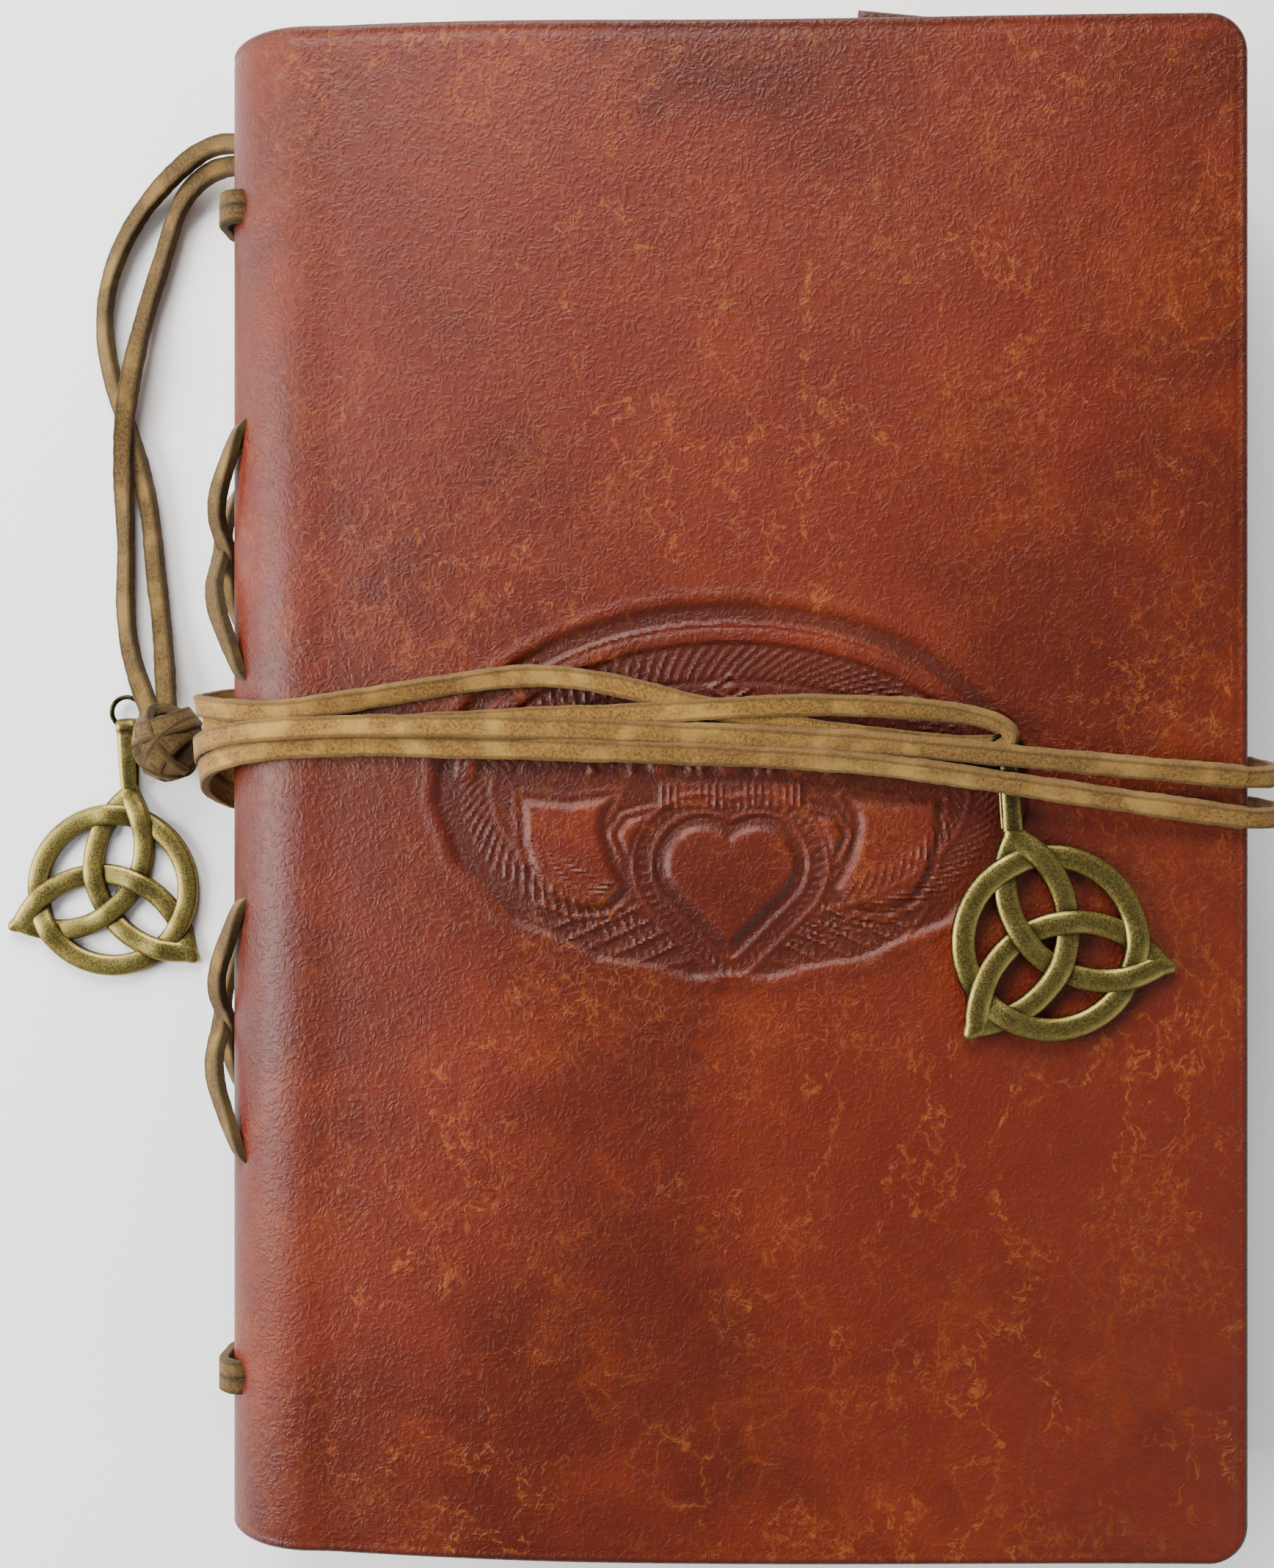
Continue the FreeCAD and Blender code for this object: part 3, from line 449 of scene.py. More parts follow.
def sheet_mesh(name, profile, columns, rows, extent, thick, material, lift=0.0, window=None, height=None,
               back_rows=9):
    """A closed sheet along a profile. extent maps a row's share to Y; window is a block of finer cells."""
    low, high = rows[0], rows[-1]
    spots, sums = [], {}

    def vertex(s, y, layer):
        key = (round(float(s), 4), round(float(y), 4), layer)
        if key not in sums:
            sums[key] = len(spots)
            spots.append(key)
        return sums[key]

    faces = []
    count_s, count_y = len(columns), len(rows)
    if window:
        ja, jb, ia, ib, parts = window
        fine_s = np.concatenate([np.linspace(columns[j], columns[j + 1], parts, endpoint=False)
                                 for j in range(ja, jb)] + [[columns[jb]]])
        fine_y = np.concatenate([np.linspace(rows[i], rows[i + 1], parts, endpoint=False)
                                 for i in range(ia, ib)] + [[rows[ib]]])
        grid = [[vertex(s, y, 0) for s in fine_s] for y in fine_y]
        for a in range(len(fine_y) - 1):
            for b in range(len(fine_s) - 1):
                faces.append((grid[a][b], grid[a][b + 1], grid[a + 1][b + 1], grid[a + 1][b]))
    for i in range(count_y - 1):
        for j in range(count_s - 1):
            if window and ja <= j < jb and ia <= i < ib:
                continue
            s0, s1, y0, y1 = columns[j], columns[j + 1], rows[i], rows[i + 1]
            ring = [(s0, y0), (s1, y0), (s1, y1), (s0, y1)]
            if window and ja <= j < jb and i in (ia - 1, ib):
                steps = np.linspace(s0, s1, parts, endpoint=False)[1:]
                if i == ib:
                    ring = [(s0, y0), *[(s, y0) for s in steps], (s1, y0), (s1, y1), (s0, y1)]
                else:
                    ring = [(s0, y0), (s1, y0), (s1, y1), *[(s, y1) for s in steps[::-1]], (s0, y1)]
            elif window and ia <= i < ib and j in (ja - 1, jb):
                steps = np.linspace(y0, y1, parts, endpoint=False)[1:]
                if j == jb:
                    ring = [(s0, y0), (s1, y0), (s1, y1), (s0, y1), *[(s0, y) for y in steps[::-1]]]
                else:
                    ring = [(s0, y0), (s1, y0), *[(s1, y) for y in steps], (s1, y1), (s0, y1)]
            faces.append([vertex(s, y, 0) for s, y in ring])
    # the underside: long cells, with every border point kept
    picks = sorted(set(np.linspace(0, count_y - 1, back_rows).astype(int)))
    for a, b in zip(picks, picks[1:]):
        for j in range(count_s - 1):
            s0, s1 = columns[j], columns[j + 1]
            ring = [(s0, rows[a])]
            if j == 0:
                ring += [(s0, rows[i]) for i in range(a + 1, b)]
            ring += [(s0, rows[b]), (s1, rows[b])]
            if j == count_s - 2:
                ring += [(s1, rows[i]) for i in range(b - 1, a, -1)]
            ring += [(s1, rows[a])]
            faces.append([vertex(s, y, 1) for s, y in ring])
    # the four edges
    for s0, s1 in zip(columns, columns[1:]):
        faces.append([vertex(s0, low, 0), vertex(s0, low, 1), vertex(s1, low, 1), vertex(s1, low, 0)])
        faces.append([vertex(s0, high, 0), vertex(s1, high, 0), vertex(s1, high, 1), vertex(s0, high, 1)])
    first, last = columns[0], columns[-1]
    for y0, y1 in zip(rows, rows[1:]):
        faces.append([vertex(first, y0, 0), vertex(first, y1, 0), vertex(first, y1, 1), vertex(first, y0, 1)])
        faces.append([vertex(last, y0, 0), vertex(last, y0, 1), vertex(last, y1, 1), vertex(last, y1, 0)])
    data = np.array(spots)
    s, v, layer = data[:, 0], data[:, 1], data[:, 2]
    flat_x, _ = profile.at(s)
    y, edge = extent(s, flat_x, v)
    up, press = height(s, flat_x, y, edge) if height else (np.zeros_like(s), np.zeros_like(s))
    up = up - 0.45 * np.clip(1 - edge / 0.7, 0, 1) ** 2
    x, z = profile.at(s, np.where(layer < 0.5, lift + up, lift - thick))
    return mesh_piece(name, np.stack([x, y, z], 1), faces, material,
                      {"press": np.where(layer < 0.5, press, 0.0), "rim": np.where(layer < 0.5, edge, 0.0)})


# ------------------------------------------------------------------ the leather's section and outline

SPINE_X, SPINE_Z, BEND = -62.0, 16.6, 15.0
HEAD, FOOT, FORE, CORNER = 115.0, -116.0, 77.7, 5.8
LEATHER_THICK, LINING_THICK, LINING_LIFT = 1.3, 0.42, -1.33
EMBLEM_X, EMBLEM_Y = 0.8, -0.7
quarter_turn = np.radians(np.linspace(270, 180, 60))
quarter = np.stack([SPINE_X + BEND * np.cos(quarter_turn), SPINE_Z + BEND * np.sin(quarter_turn)], 1)
shoulder = arc_points((-77.0, 16.6), (-72.4, 23.6), (-60.35, 27.1), 60)[1:]
crown = arc_points((-60.0, 27.2), (-41.0, 29.05), (-20.0, 30.1), 60)
front_profile = Profile([quarter, shoulder, crown, np.array([[FORE, 31.5]])])

top_s = front_profile.run[front_profile.line[:, 1] > 26.0]
top_x = front_profile.line[front_profile.line[:, 1] > 26.0, 0]


def s_of_x(x):
    """Arc length on the front cover at an X."""
    return np.interp(x, top_x, top_s)


STATIONS = (90.0, 56.5, 16.8, -17.6, -57.8, -91.6)
HOLE_S = [front_profile.run[np.argmin(np.hypot(front_profile.line[:, 0] - x, front_profile.line[:, 1] - z))]
          for x, z in ((-74.6, 8.6), (-75.0, 21.2))]


def inside_outline(x, y):
    """How far inside the cover's outline a point of the front is; two corners are round."""
    dx, dy = FORE - x, np.minimum(y - FOOT, HEAD - y)
    near = (dx < CORNER) & (dy < CORNER)
    return np.where(near, CORNER - np.hypot(CORNER - dx, CORNER - dy), np.minimum(dx, dy))


# ------------------------------------------------------------------ the pressed emblem


def smooth(t):
    """A share held to 0 to 1, with a soft start and end."""
    t = np.clip(t, 0, 1)
    return t * t * (3 - 2 * t)


def ramp(d, width):
    """1 inside a shape and 0 outside, from its signed distance, over a soft edge."""
    return smooth(0.5 - d / width)


def stroke(d, width):
    return np.exp(-((d / width) ** 2))


def polygon(x, y, corners):
    """Signed distance to a closed polygon, negative inside."""
    best = np.full(x.shape, 1e9)
    sign = np.ones(x.shape)
    count = len(corners)
    for i in range(count):
        ax, ay = corners[i]
        bx, by = corners[(i + 1) % count]
        ex, ey = bx - ax, by - ay
        wx, wy = x - ax, y - ay
        t = np.clip((wx * ex + wy * ey) / (ex * ex + ey * ey), 0, 1)
        best = np.minimum(best, np.hypot(wx - ex * t, wy - ey * t))
        crosses = ((ay <= y) & (by > y)) | ((by <= y) & (ay > y))
        side = np.where(np.abs(ey) > 1e-9, ax + (y - ay) * ex / (ey if abs(ey) > 1e-9 else 1), 1e9)
        sign = np.where(crosses & (x < side), -sign, sign)
    return best * sign


def heart(x, y, size):
    """Signed distance to a heart with its lowest point at the origin."""
    px, py = np.abs(x) / size, y / size
    upper = np.hypot(px - 0.25, py - 0.75) - math.sqrt(2) / 4
    s = 0.5 * np.maximum(px + py, 0)
    lower = np.sqrt(np.minimum(px**2 + (py - 1) ** 2, (px - s) ** 2 + (py - s) ** 2)) * np.sign(px - py)
    return np.where(px + py > 1, upper, lower) * size


def oval(x, y, a, b):
    """About the signed distance to an oval."""
    r = np.hypot(x / a, y / b)
    slope = np.hypot(x / a**2, y / b**2) / np.maximum(r, 1e-6)
    return (r - 1) / np.maximum(slope, 1e-4)


def comb(t, pitch, share=0.3):
    """1 on thin lines that repeat along t."""
    phase = np.abs((t / pitch) % 1.0 - 0.5) * 2
    return np.clip((phase - (1 - share)) / share, 0, 1)


def emblem(x, y):
    """Height of the pressed emblem: an oval with a heart, wings, a beaded crown and a feathered border."""
    lx, ly = x - EMBLEM_X, y - EMBLEM_Y
    side = np.abs(lx)
    angle = np.arctan2(ly * 1.55, side)
    wave = np.where(ly < 4, 0.75 * np.abs(np.sin(angle * 9.0 + 0.4)) * np.clip((4 - ly) / 8, 0, 1), 0)
    outer = oval(lx, ly, 44.5, 28.0) + wave
    inside = ramp(outer, 1.3)
    level = -0.42 * inside + 0.13 * stroke(outer - 1.3, 0.9)
    upper = np.clip((ly - 1.0) / 3.0, 0, 1)
    lower = 1 - upper
    ring = oval(lx, ly, 41.6, 25.4)
    band = ramp(np.abs(ring + 1.6) - 1.5, 0.8) * upper
    level += 0.42 * band
    level -= 0.16 * stroke(ring + 0.9, 0.35) * upper
    # feather strokes under the band, and outside the wings
    turn = np.arctan2(ly, lx * 0.66)
    feather = comb(turn * 30 + 0.9 * (ring + 6), 1.75, 0.42)
    plume = ramp(np.abs(ring + 6.1) - 2.3, 0.9)
    level += (0.20 * feather) * plume * upper
    level -= 0.12 * stroke(ring + 8.9, 0.4) * upper
    barb = comb(turn * 27 - 1.1 * (ring + 4), 1.6, 0.45)
    level += 0.22 * barb * ramp(np.abs(ring + 3.1) - 1.9, 0.9) * lower
    level += 0.16 * stroke(ring + 5.9, 0.5) * lower
    barb_in = comb(turn * 25 + 1.4 * (ring + 8), 1.5, 0.45)
    level += 0.20 * barb_in * ramp(np.abs(ring + 8.0) - 1.5, 0.9) * lower * ramp(-(side - 17), 3.0)
    # the two smooth wing pads and the two small pads beside the heart
    wing = polygon(side, ly, [(17.4, -0.8), (24, -1.8), (31.2, -1.2), (30.9, -7.5), (29.4, -12.8),
                              (27.0, -16.2), (22.6, -18.0), (18.4, -17.6), (15.6, -14.6), (17.9, -10.5),
                              (19.2, -6.2), (18.9, -3.2)])
    level += 0.52 * ramp(wing + 0.5, 1.5)
    level += 0.12 * stroke(wing - 1.1, 0.4)
    small_pad = polygon(side, ly, [(11.6, -3.6), (15.4, -4.6), (16.6, -6.6), (15.2, -9.6), (12.4, -12.2),
                                   (13.4, -8.6), (12.9, -5.8)])
    level += 0.44 * ramp(small_pad, 1.0)
    level += 0.16 * stroke(small_pad - 1.2, 0.4) - 0.10 * stroke(small_pad - 1.9, 0.3)
    # feather fans either side of the heart's point
    fan_area = polygon(side, ly, [(7.4, -17.6), (12.8, -15.6), (17.6, -18.9), (23.4, -19.6), (28.6, -17.6),
                                  (25.5, -21.8), (19, -24.6), (11, -25.9), (5.2, -24.4)])
    fan_line = side * 0.42 + ly * 0.91
    along = side * 0.91 - ly * 0.42
    fan = np.maximum(comb(fan_line, 2.5, 0.26), 0.75 * comb(along + fan_line * 0.8, 1.35, 0.4)
                     * (((fan_line / 2.5) % 1.0) < 0.42))
    level += 0.26 * fan * ramp(fan_area, 1.0)
    level += 0.14 * stroke(fan_area - 0.6, 0.4)
    # the heart and its outlines
    love = heart(lx, ly + 23.2, 16.4)
    clear = ramp(love - 5.4, 0.8)
    level = level * (1 - clear) - 0.42 * clear * inside
    level += 0.50 * ramp(love + 0.4, 1.3)
    level += 0.20 * stroke(love - 1.9, 0.42) + 0.24 * stroke(love - 4.7, 0.45)
    level -= 0.10 * stroke(love - 1.1, 0.3)
    bead_turn = np.arctan2(ly + 14.0, lx) * 12
    level += 0.16 * ramp(np.abs(love - 3.3) - 0.7, 0.5) * comb(bead_turn, 1.25, 0.55)
    # the crown: a ribbed cuff, arches, beads and a small diamond
    cuff = polygon(lx, ly, [(-11, -2.4), (11, -2.4), (10.4, 1.2), (-10.4, 1.2)])
    level += ramp(cuff, 0.8) * (0.12 + 0.18 * comb(lx, 1.15, 0.5))
    arches = np.minimum.reduce([np.abs(np.hypot(lx - c, ly - 3.6) - 4.4) for c in (-10.4, 0.0, 10.4)])
    level += 0.26 * stroke(arches, 0.5) * ramp(-(ly - 2.2), 1.0)
    cores = np.minimum.reduce([np.hypot(lx - c, ly - 4.2) - 1.8 for c in (-10.4, 0.0, 10.4)])
    level += 0.34 * ramp(cores, 1.2) * ramp(-(ly - 2.2), 1.0)
    for row_y, spread, count in ((10.6, 2.1, 5), (13.4, 3.3, 7), (8.2, 7.4, 3)):
        for k in range(count):
            bx = (k - (count - 1) / 2) * spread * (1.0 if count != 3 else 2.8)
            level += 0.34 * ramp(np.hypot(lx - bx, ly - row_y + 0.012 * bx * bx) - 0.55, 0.7)
    diamond = np.abs(lx) * 0.62 + np.abs(ly - 15.4) - 1.9
    level += 0.24 * stroke(diamond, 0.35) + 0.22 * ramp(diamond + 1.1, 0.6)
    level += (0.16 * comb(lx * 0.5 + ly, 1.7, 0.3)
              * ramp(np.abs(side - 21) - 5.5, 1.0) * ramp(np.abs(ly - 8) - 4.0, 1.0))
    return 1.35 * level * ramp(outer - 4.5, 1.0)


def cover_height(s, x, y, edge):
    """Waves of the soft leather, the burnished border line, the lacing holes and the emblem."""
    on_front = s > s_of_x(-58.0)
    near = (np.abs(x - EMBLEM_X) < 48) & (np.abs(y - EMBLEM_Y) < 33) & on_front
    press = np.zeros_like(x)
    press[near] = emblem(x[near], y[near])
    swell = 0.10 * np.sin(x * 0.075 + 1.3) * np.sin(y * 0.055 + 0.4) + 0.07 * np.sin(x * 0.17 + y * 0.11)
    swell = swell * np.clip((edge - 2) / 10, 0, 1) * np.clip((s - s_of_x(-50)) / 15, 0, 1)
    groove = -0.16 * stroke(edge - 1.5, 0.32)
    dents = np.zeros_like(x)
    for hole in HOLE_S:
        for station in STATIONS:
            dents -= 0.55 * np.exp(-(((s - hole) / 1.7) ** 2 + ((y - station) / 1.9) ** 2))
    return swell + groove + dents + press, press + 1.2 * groove + 0.9 * dents


def cover_extent(s, x, v):
    """The cover in plan: its fore-edge corners are round, and its borders are not quite straight."""
    reach = np.clip(x - (FORE - CORNER), 0, CORNER)
    inset = CORNER - np.sqrt(np.maximum(CORNER**2 - reach**2, 0))
    inset = np.where(s > s_of_x(0.0), inset, 0.0)
    middle, half = (HEAD + FOOT) / 2, (HEAD - FOOT) / 2
    y = middle + (v - middle) * (half - inset) / half
    edge = np.where(s > s_of_x(0.0), inside_outline(x, y), np.minimum(y - FOOT, HEAD - y))
    bow = 0.25 * np.sin(s * 0.045) * np.clip((np.abs(y) - 100) / 15, 0, 1)
    return y + bow, np.maximum(edge, 0.0)


spine_end = s_of_x(-60.0)
near_holes = [h + d for h in HOLE_S for d in (-2.2, -1.4, -0.7, 0.0, 0.7, 1.4, 2.2)]
spine_columns = sorted(set(np.round(np.r_[np.arange(0, spine_end, 1.3), near_holes], 3)))
spine_columns = [c for i, c in enumerate(spine_columns) if i == 0 or c - spine_columns[i - 1] > 0.3]
WINDOW_X = (-46.0, 48.0)
plain_a = s_of_x(np.linspace(-60.0, WINDOW_X[0], 9)[:-1])
inner_s = s_of_x(np.linspace(*WINDOW_X, 53))
plain_b = s_of_x(np.linspace(WINDOW_X[1], FORE - CORNER, 14)[1:])
corner_x = FORE - CORNER * (1 - np.sin(np.linspace(0, math.pi / 2, 16)[1:]))
end_s = s_of_x(np.r_[corner_x[:-1], FORE - 0.12, FORE])
columns = np.concatenate([spine_columns, plain_a, inner_s, plain_b, end_s])
columns = np.array(sorted(set(np.round(columns, 4))))
columns = columns[np.r_[True, np.diff(columns) > 0.05]]
columns[-1] = front_profile.length
WINDOW_Y = (-31.0, 30.2)
outer_rows = rows_between(FOOT, HEAD, 2.2, STATIONS)
outer_rows = outer_rows[(outer_rows < WINDOW_Y[0] - 0.5) | (outer_rows > WINDOW_Y[1] + 0.5)]
rows = np.sort(np.r_[outer_rows, np.linspace(*WINDOW_Y, 35)])
ja, jb = np.argmin(np.abs(columns - inner_s[0])), np.argmin(np.abs(columns - inner_s[-1]))
ia, ib = np.argmin(np.abs(rows - WINDOW_Y[0])), np.argmin(np.abs(rows - WINDOW_Y[1]))
front_sheet = sheet_mesh("cover_front_leather", front_profile, columns, rows, cover_extent, LEATHER_THICK,
                         LEATHER, window=(ja, jb, ia, ib, 5), height=cover_height)
lining_columns = np.r_[np.arange(0, s_of_x(-58.0), 1.5), s_of_x(np.linspace(-57, 70, 40)), end_s]
lining_rows = rows_between(FOOT, HEAD, 8.0, border=(0.0, 1.0, 2.5))


def lining_extent(s, x, v):
    y, edge = cover_extent(s, x, v)
    return y * 0.9975, edge + 3.0


front_lining = sheet_mesh("cover_front_lining", front_profile, lining_columns, lining_rows, lining_extent,
                          0.45, LINING, lift=LINING_LIFT)
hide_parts("front_cover", "spine")
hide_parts("front_lining", "spine_lining")
for piece, finish in ((front_sheet, "cover_leather"), (front_lining, "lining_leather")):
    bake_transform(piece)


# ------------------------------------------------------------------ back, fore-edge wall and flap


def tapered_extent(s, x, v):
    """The back's head and foot draw in to the wall's at the fore-edge fold."""
    t = smooth((x - 66.0) / 9.0)
    low, high = FOOT + 3.0 * t, HEAD - 3.2 * t
    share = (v - FOOT) / (HEAD - FOOT)
    y = low + share * (high - low)
    return y, np.minimum(y - low, high - y)


back_profile = Profile([np.array([[73.4, 1.6], [SPINE_X, 1.6]])])
plain_rows = rows_between(FOOT, HEAD, 6.0)
WALL_LOW, WALL_HIGH, WALL_X, WALL_MIDDLE = -113.0, 111.8, 77.0, 15.0
FLAP_EDGE, FLAP_SKEW, FLAP_Z = 20.2, 5.2, 28.5
fold_turn = np.radians(np.linspace(-90, 0, 24))
low_fold = np.stack([74.4 + 2.6 * np.cos(fold_turn), 4.2 + 2.6 * np.sin(fold_turn)], 1)
high_turn = np.radians(np.linspace(0, 90, 24))
high_fold = np.stack([74.9 + 2.1 * np.cos(high_turn), 26.4 + 2.1 * np.sin(high_turn)], 1)
flap_profile = Profile([np.array([[FLAP_EDGE, FLAP_Z]]), high_fold[::-1], np.array([[WALL_X, WALL_MIDDLE]])],
                       soften=0.5)
wall_profile = Profile([np.array([[WALL_X, WALL_MIDDLE]]), low_fold[::-1], np.array([[73.4, 1.6]])],
                       soften=0.5)


def wall_extent(s, x, v):
    """The wall's head and foot, which the back draws in to."""
    return v, np.minimum(v - WALL_LOW, WALL_HIGH - v)


def flap_extent(s, x, v):
    """The flap slants a little towards the head as it goes in under the front cover."""
    share = np.clip((WALL_X - x) / (WALL_X - FLAP_EDGE), 0, 1)
    return v + FLAP_SKEW * share, np.minimum(wall_extent(s, x, v)[1], np.maximum(x - FLAP_EDGE, 0))


wall_rows = rows_between(WALL_LOW, WALL_HIGH, 6.0)
flap_columns = np.r_[0.0, 0.15, 0.4, 0.8, 1.2, 1.6, np.linspace(2.4, 50.0, 20),
                     np.linspace(51.0, flap_profile.length, 26)]
wall_columns = np.linspace(0, wall_profile.length, 26)
back_columns = np.linspace(0, back_profile.length, 46)
sheets = {
    "cover_back": (back_profile, back_columns, plain_rows, tapered_extent,
                   ("back_cover", "back_lining"), None),
    "cover_wall": (wall_profile, wall_columns, wall_rows, wall_extent, ("fore_edge_wall", "fore_edge_lining"),
                   ("fore_edge", "book", (0.0766, 0, 0.0052), (0.0735, 0, 0.0018))),
    "cover_flap": (flap_profile, flap_columns, wall_rows, flap_extent, ("flap", "flap_lining"),
                   ("fore_edge", "flap", (0.0770, 0, 0.0243), (0.0735, 0, 0.0284))),
}
for name, (profile, cols, rws, extent, nodes, bend) in sheets.items():
    outer = sheet_mesh(name + "_leather", profile, cols, rws, extent, LEATHER_THICK, LEATHER)
    inner = sheet_mesh(name + "_lining", profile, cols, rws, extent, LINING_THICK, LINING, lift=LINING_LIFT,
                       back_rows=5)
    for piece, node, finish in ((outer, nodes[0], "cover_leather"), (inner, nodes[1], "lining_leather")):
        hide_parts(node)
        if bend is None:
            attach(piece, "book")
        else:
            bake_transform(piece)


# ------------------------------------------------------------------ paper: folded leaves in six signatures

SIGNATURES, LEAVES, LEAF_ROOM = 6, 9, 0.10
PAPER_LOW, PAPER_STEP, PAPER_GAP = 3.6, 3.783, 0.12
SWELL_X, FOLD_X, FOLD_LOW, FOLD_HIGH = -49.5, -73.7, 5.5, 22.8
fold_step = (FOLD_HIGH - FOLD_LOW) / SIGNATURES
for number in range(1, SIGNATURES + 1):
    nearest_fold = np.array(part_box(f"signature_{number}")[0])[0] / MM
    spots, faces = [], []
    box_low, box_high = PAPER_LOW + (number - 1) * PAPER_STEP, PAPER_LOW + number * PAPER_STEP - PAPER_GAP
    for leaf in range(LEAVES):
        # nested folds: the outermost leaf has the widest and furthest fold
        inset = (box_high - box_low) / 2 * leaf / LEAVES
        nose = nearest_fold + 0.25 + inset * 0.9
        share = (SWELL_X - nose) / (SWELL_X - FOLD_X)
        fold_low = box_low + ((FOLD_LOW + (number - 1) * fold_step) - box_low) * share
        fold_high = box_high + ((FOLD_LOW + number * fold_step - PAPER_GAP) - box_high) * share
        fore = 74.6 - 0.35 * abs(math.sin(leaf * 2.1 + number)) - 0.25 * leaf / LEAVES
        shrink = inset / (box_high - box_low) * (fold_high - fold_low)
        middle = (fold_low + fold_high) / 2
        half = max((fold_high - fold_low) / 2 - shrink, 0.06)
        turn = np.linspace(-math.pi / 2, math.pi / 2, 9)
        bottom = [(x, box_low + inset) for x in (fore, 20.0, SWELL_X)]
        fold = [(nose + half * 0.8 * (1 - math.cos(t)), middle + half * math.sin(t)) for t in turn]
        topside = [(x, box_high - inset) for x in (SWELL_X, 20.0, fore)]
        path = np.array(bottom + fold + topside)
        way = unit(np.gradient(path, axis=0))
        normal = np.stack([way[:, 1], -way[:, 0]], 1)
        thick = (box_high - box_low) / 2 / LEAVES - LEAF_ROOM * 0.6
        head_y = 112.0 - 0.3 * abs(math.sin(leaf * 1.7))
        foot_y = -113.0 + 0.3 * abs(math.cos(leaf * 1.3 + number))
        base = len(spots)
        count = len(path)
        for y in (foot_y, head_y):
            for shift in (0.0, -thick):
                spots += [(p[0] + q[0] * shift, y, p[1] + q[1] * shift) for p, q in zip(path, normal)]
        a0, b0, a1, b1 = (base + k * count for k in range(4))
        for i in range(count - 1):
            faces += [(a0 + i, a0 + i + 1, a1 + i + 1, a1 + i), (b0 + i, b1 + i, b1 + i + 1, b0 + i + 1),
                      (a0 + i, b0 + i, b0 + i + 1, a0 + i + 1), (a1 + i, a1 + i + 1, b1 + i + 1, b1 + i)]
        for i in (0, count - 1):
            faces.append((a0 + i, a1 + i, b1 + i, b0 + i) if i == 0 else (a0 + i, b0 + i, b1 + i, a1 + i))
    block = mesh_piece(f"leaves_{number}", spots, faces, PAPER)
    stand_in(block, f"signature_{number}", "book")
finish_node("sewing_thread", THREAD)


# ------------------------------------------------------------------ laces


def routed(name, points):
    """A smooth line along a lace's route: a NURBS spline with the route's points, and points read from it."""
    curve = bpy.data.curves.new(name, "CURVE")
    curve.dimensions = "3D"
    spline = curve.splines.new("NURBS")
    spline.points.add(len(points) - 1)
    for point, spot in zip(spline.points, points):
        point.co = (*spot, 1.0)
    spline.order_u = 3
    spline.use_endpoint_u = True
    spline.resolution_u = 10
    thing = bpy.data.objects.new(name, curve)
    bpy.context.scene.collection.objects.link(thing)
    bpy.context.view_layer.update()
    depsgraph = bpy.context.evaluated_depsgraph_get()
    mesh = bpy.data.meshes.new_from_object(thing.evaluated_get(depsgraph))
    line = np.array([v.co for v in mesh.vertices])
    bpy.data.meshes.remove(mesh)
    bpy.data.objects.remove(thing)
    bpy.data.curves.remove(curve)
    return line


def section(wide, thick):
    """A flat lace's section: a rectangle with soft corners, and how far each point is round to its side."""
    w, t, r = wide / 2, thick / 2, min(wide, thick) * 0.19
    ring, side = [], []
    for cx, cy, start in ((w - r, t - r, 0), (-w + r, t - r, 90), (-w + r, -t + r, 180),
                          (w - r, -t + r, 270)):
        for k in range(4):
            turn = math.radians(start + 30 * k)
            ring.append((cx + r * math.cos(turn), cy + r * math.sin(turn)))
    ring = [(w - r * 0.2, 0.0), *ring[:4], (0.35 * w, t), (-0.35 * w, t), *ring[4:8], (-w + r * 0.2, 0.0),
            *ring[8:12], (-0.35 * w, -t), (0.35 * w, -t), *ring[12:]]
    for x, y in ring:
        side.append(1.0 if abs(x) > w - r * 1.01 else 0.0)
    return np.array(ring), np.array(side)


def square_to(way, rows):
    """Unit vectors square to the way, nearest to the given ones."""
    return unit(rows - way * np.sum(rows * way, axis=1)[:, None])


def lace_frames(line, facing, twists, marks):
    """Width and face directions along a line, turned by twists given at marks."""
    way = unit(np.gradient(line, axis=0))
    if facing == "round":
        up = np.cross(way, np.array([0.0, 1.0, 0.0]))
    else:
        up = np.tile(np.array(facing, float), (len(line), 1))
    up = square_to(way, up)
    nearest = [int(np.argmin(np.linalg.norm(line - np.array(m), axis=1))) for m in marks]
    nearest[0], nearest[-1] = 0, len(line) - 1
    turn = np.radians(np.interp(np.arange(len(line)), nearest, twists))
    across = np.cross(way, up)
    face = up * np.cos(turn)[:, None] + across * np.sin(turn)[:, None]
    return np.cross(way, face), face


def lace_mesh(name, lines, material, wide=3.0, thick=1.5, uneven=0.07):
    """Flat laces as one mesh. Each line is (points in metres, across, face)."""
    ring, side = section(wide, thick)
    size = len(ring)
    spots, faces, sides = [], [], []
    for line, across, face in lines:
        run = run_along(line) / MM
        waves = sum(np.sin(run * f + RNG.uniform(0, 6.28)) * a
                    for f, a in ((0.35, 0.5), (0.9, 0.3), (2.3, 0.2)))
        base = len(spots)
        waves = waves * np.clip(np.minimum(run, run[-1] - run) / 4.0, 0, 1)
        for k in range(len(line)):
            grow = (1 + uneven * waves[k]) * (1 if 0 < k < len(line) - 1 else 0.93)
            for (u, v), edge in zip(ring, side):
                rough = 1 + RNG.uniform(-0.03, 0.03) * edge * (0 < k < len(line) - 1)
                spots.append(line[k] / MM + across[k] * u * grow * rough
                             + face[k] * v * (1 + 0.4 * uneven * waves[k]))
                sides.append(edge)
        faces += skin(base, len(line), size)
    return mesh_piece(name, spots, faces, material, {"side": sides}, sharp=50.0)


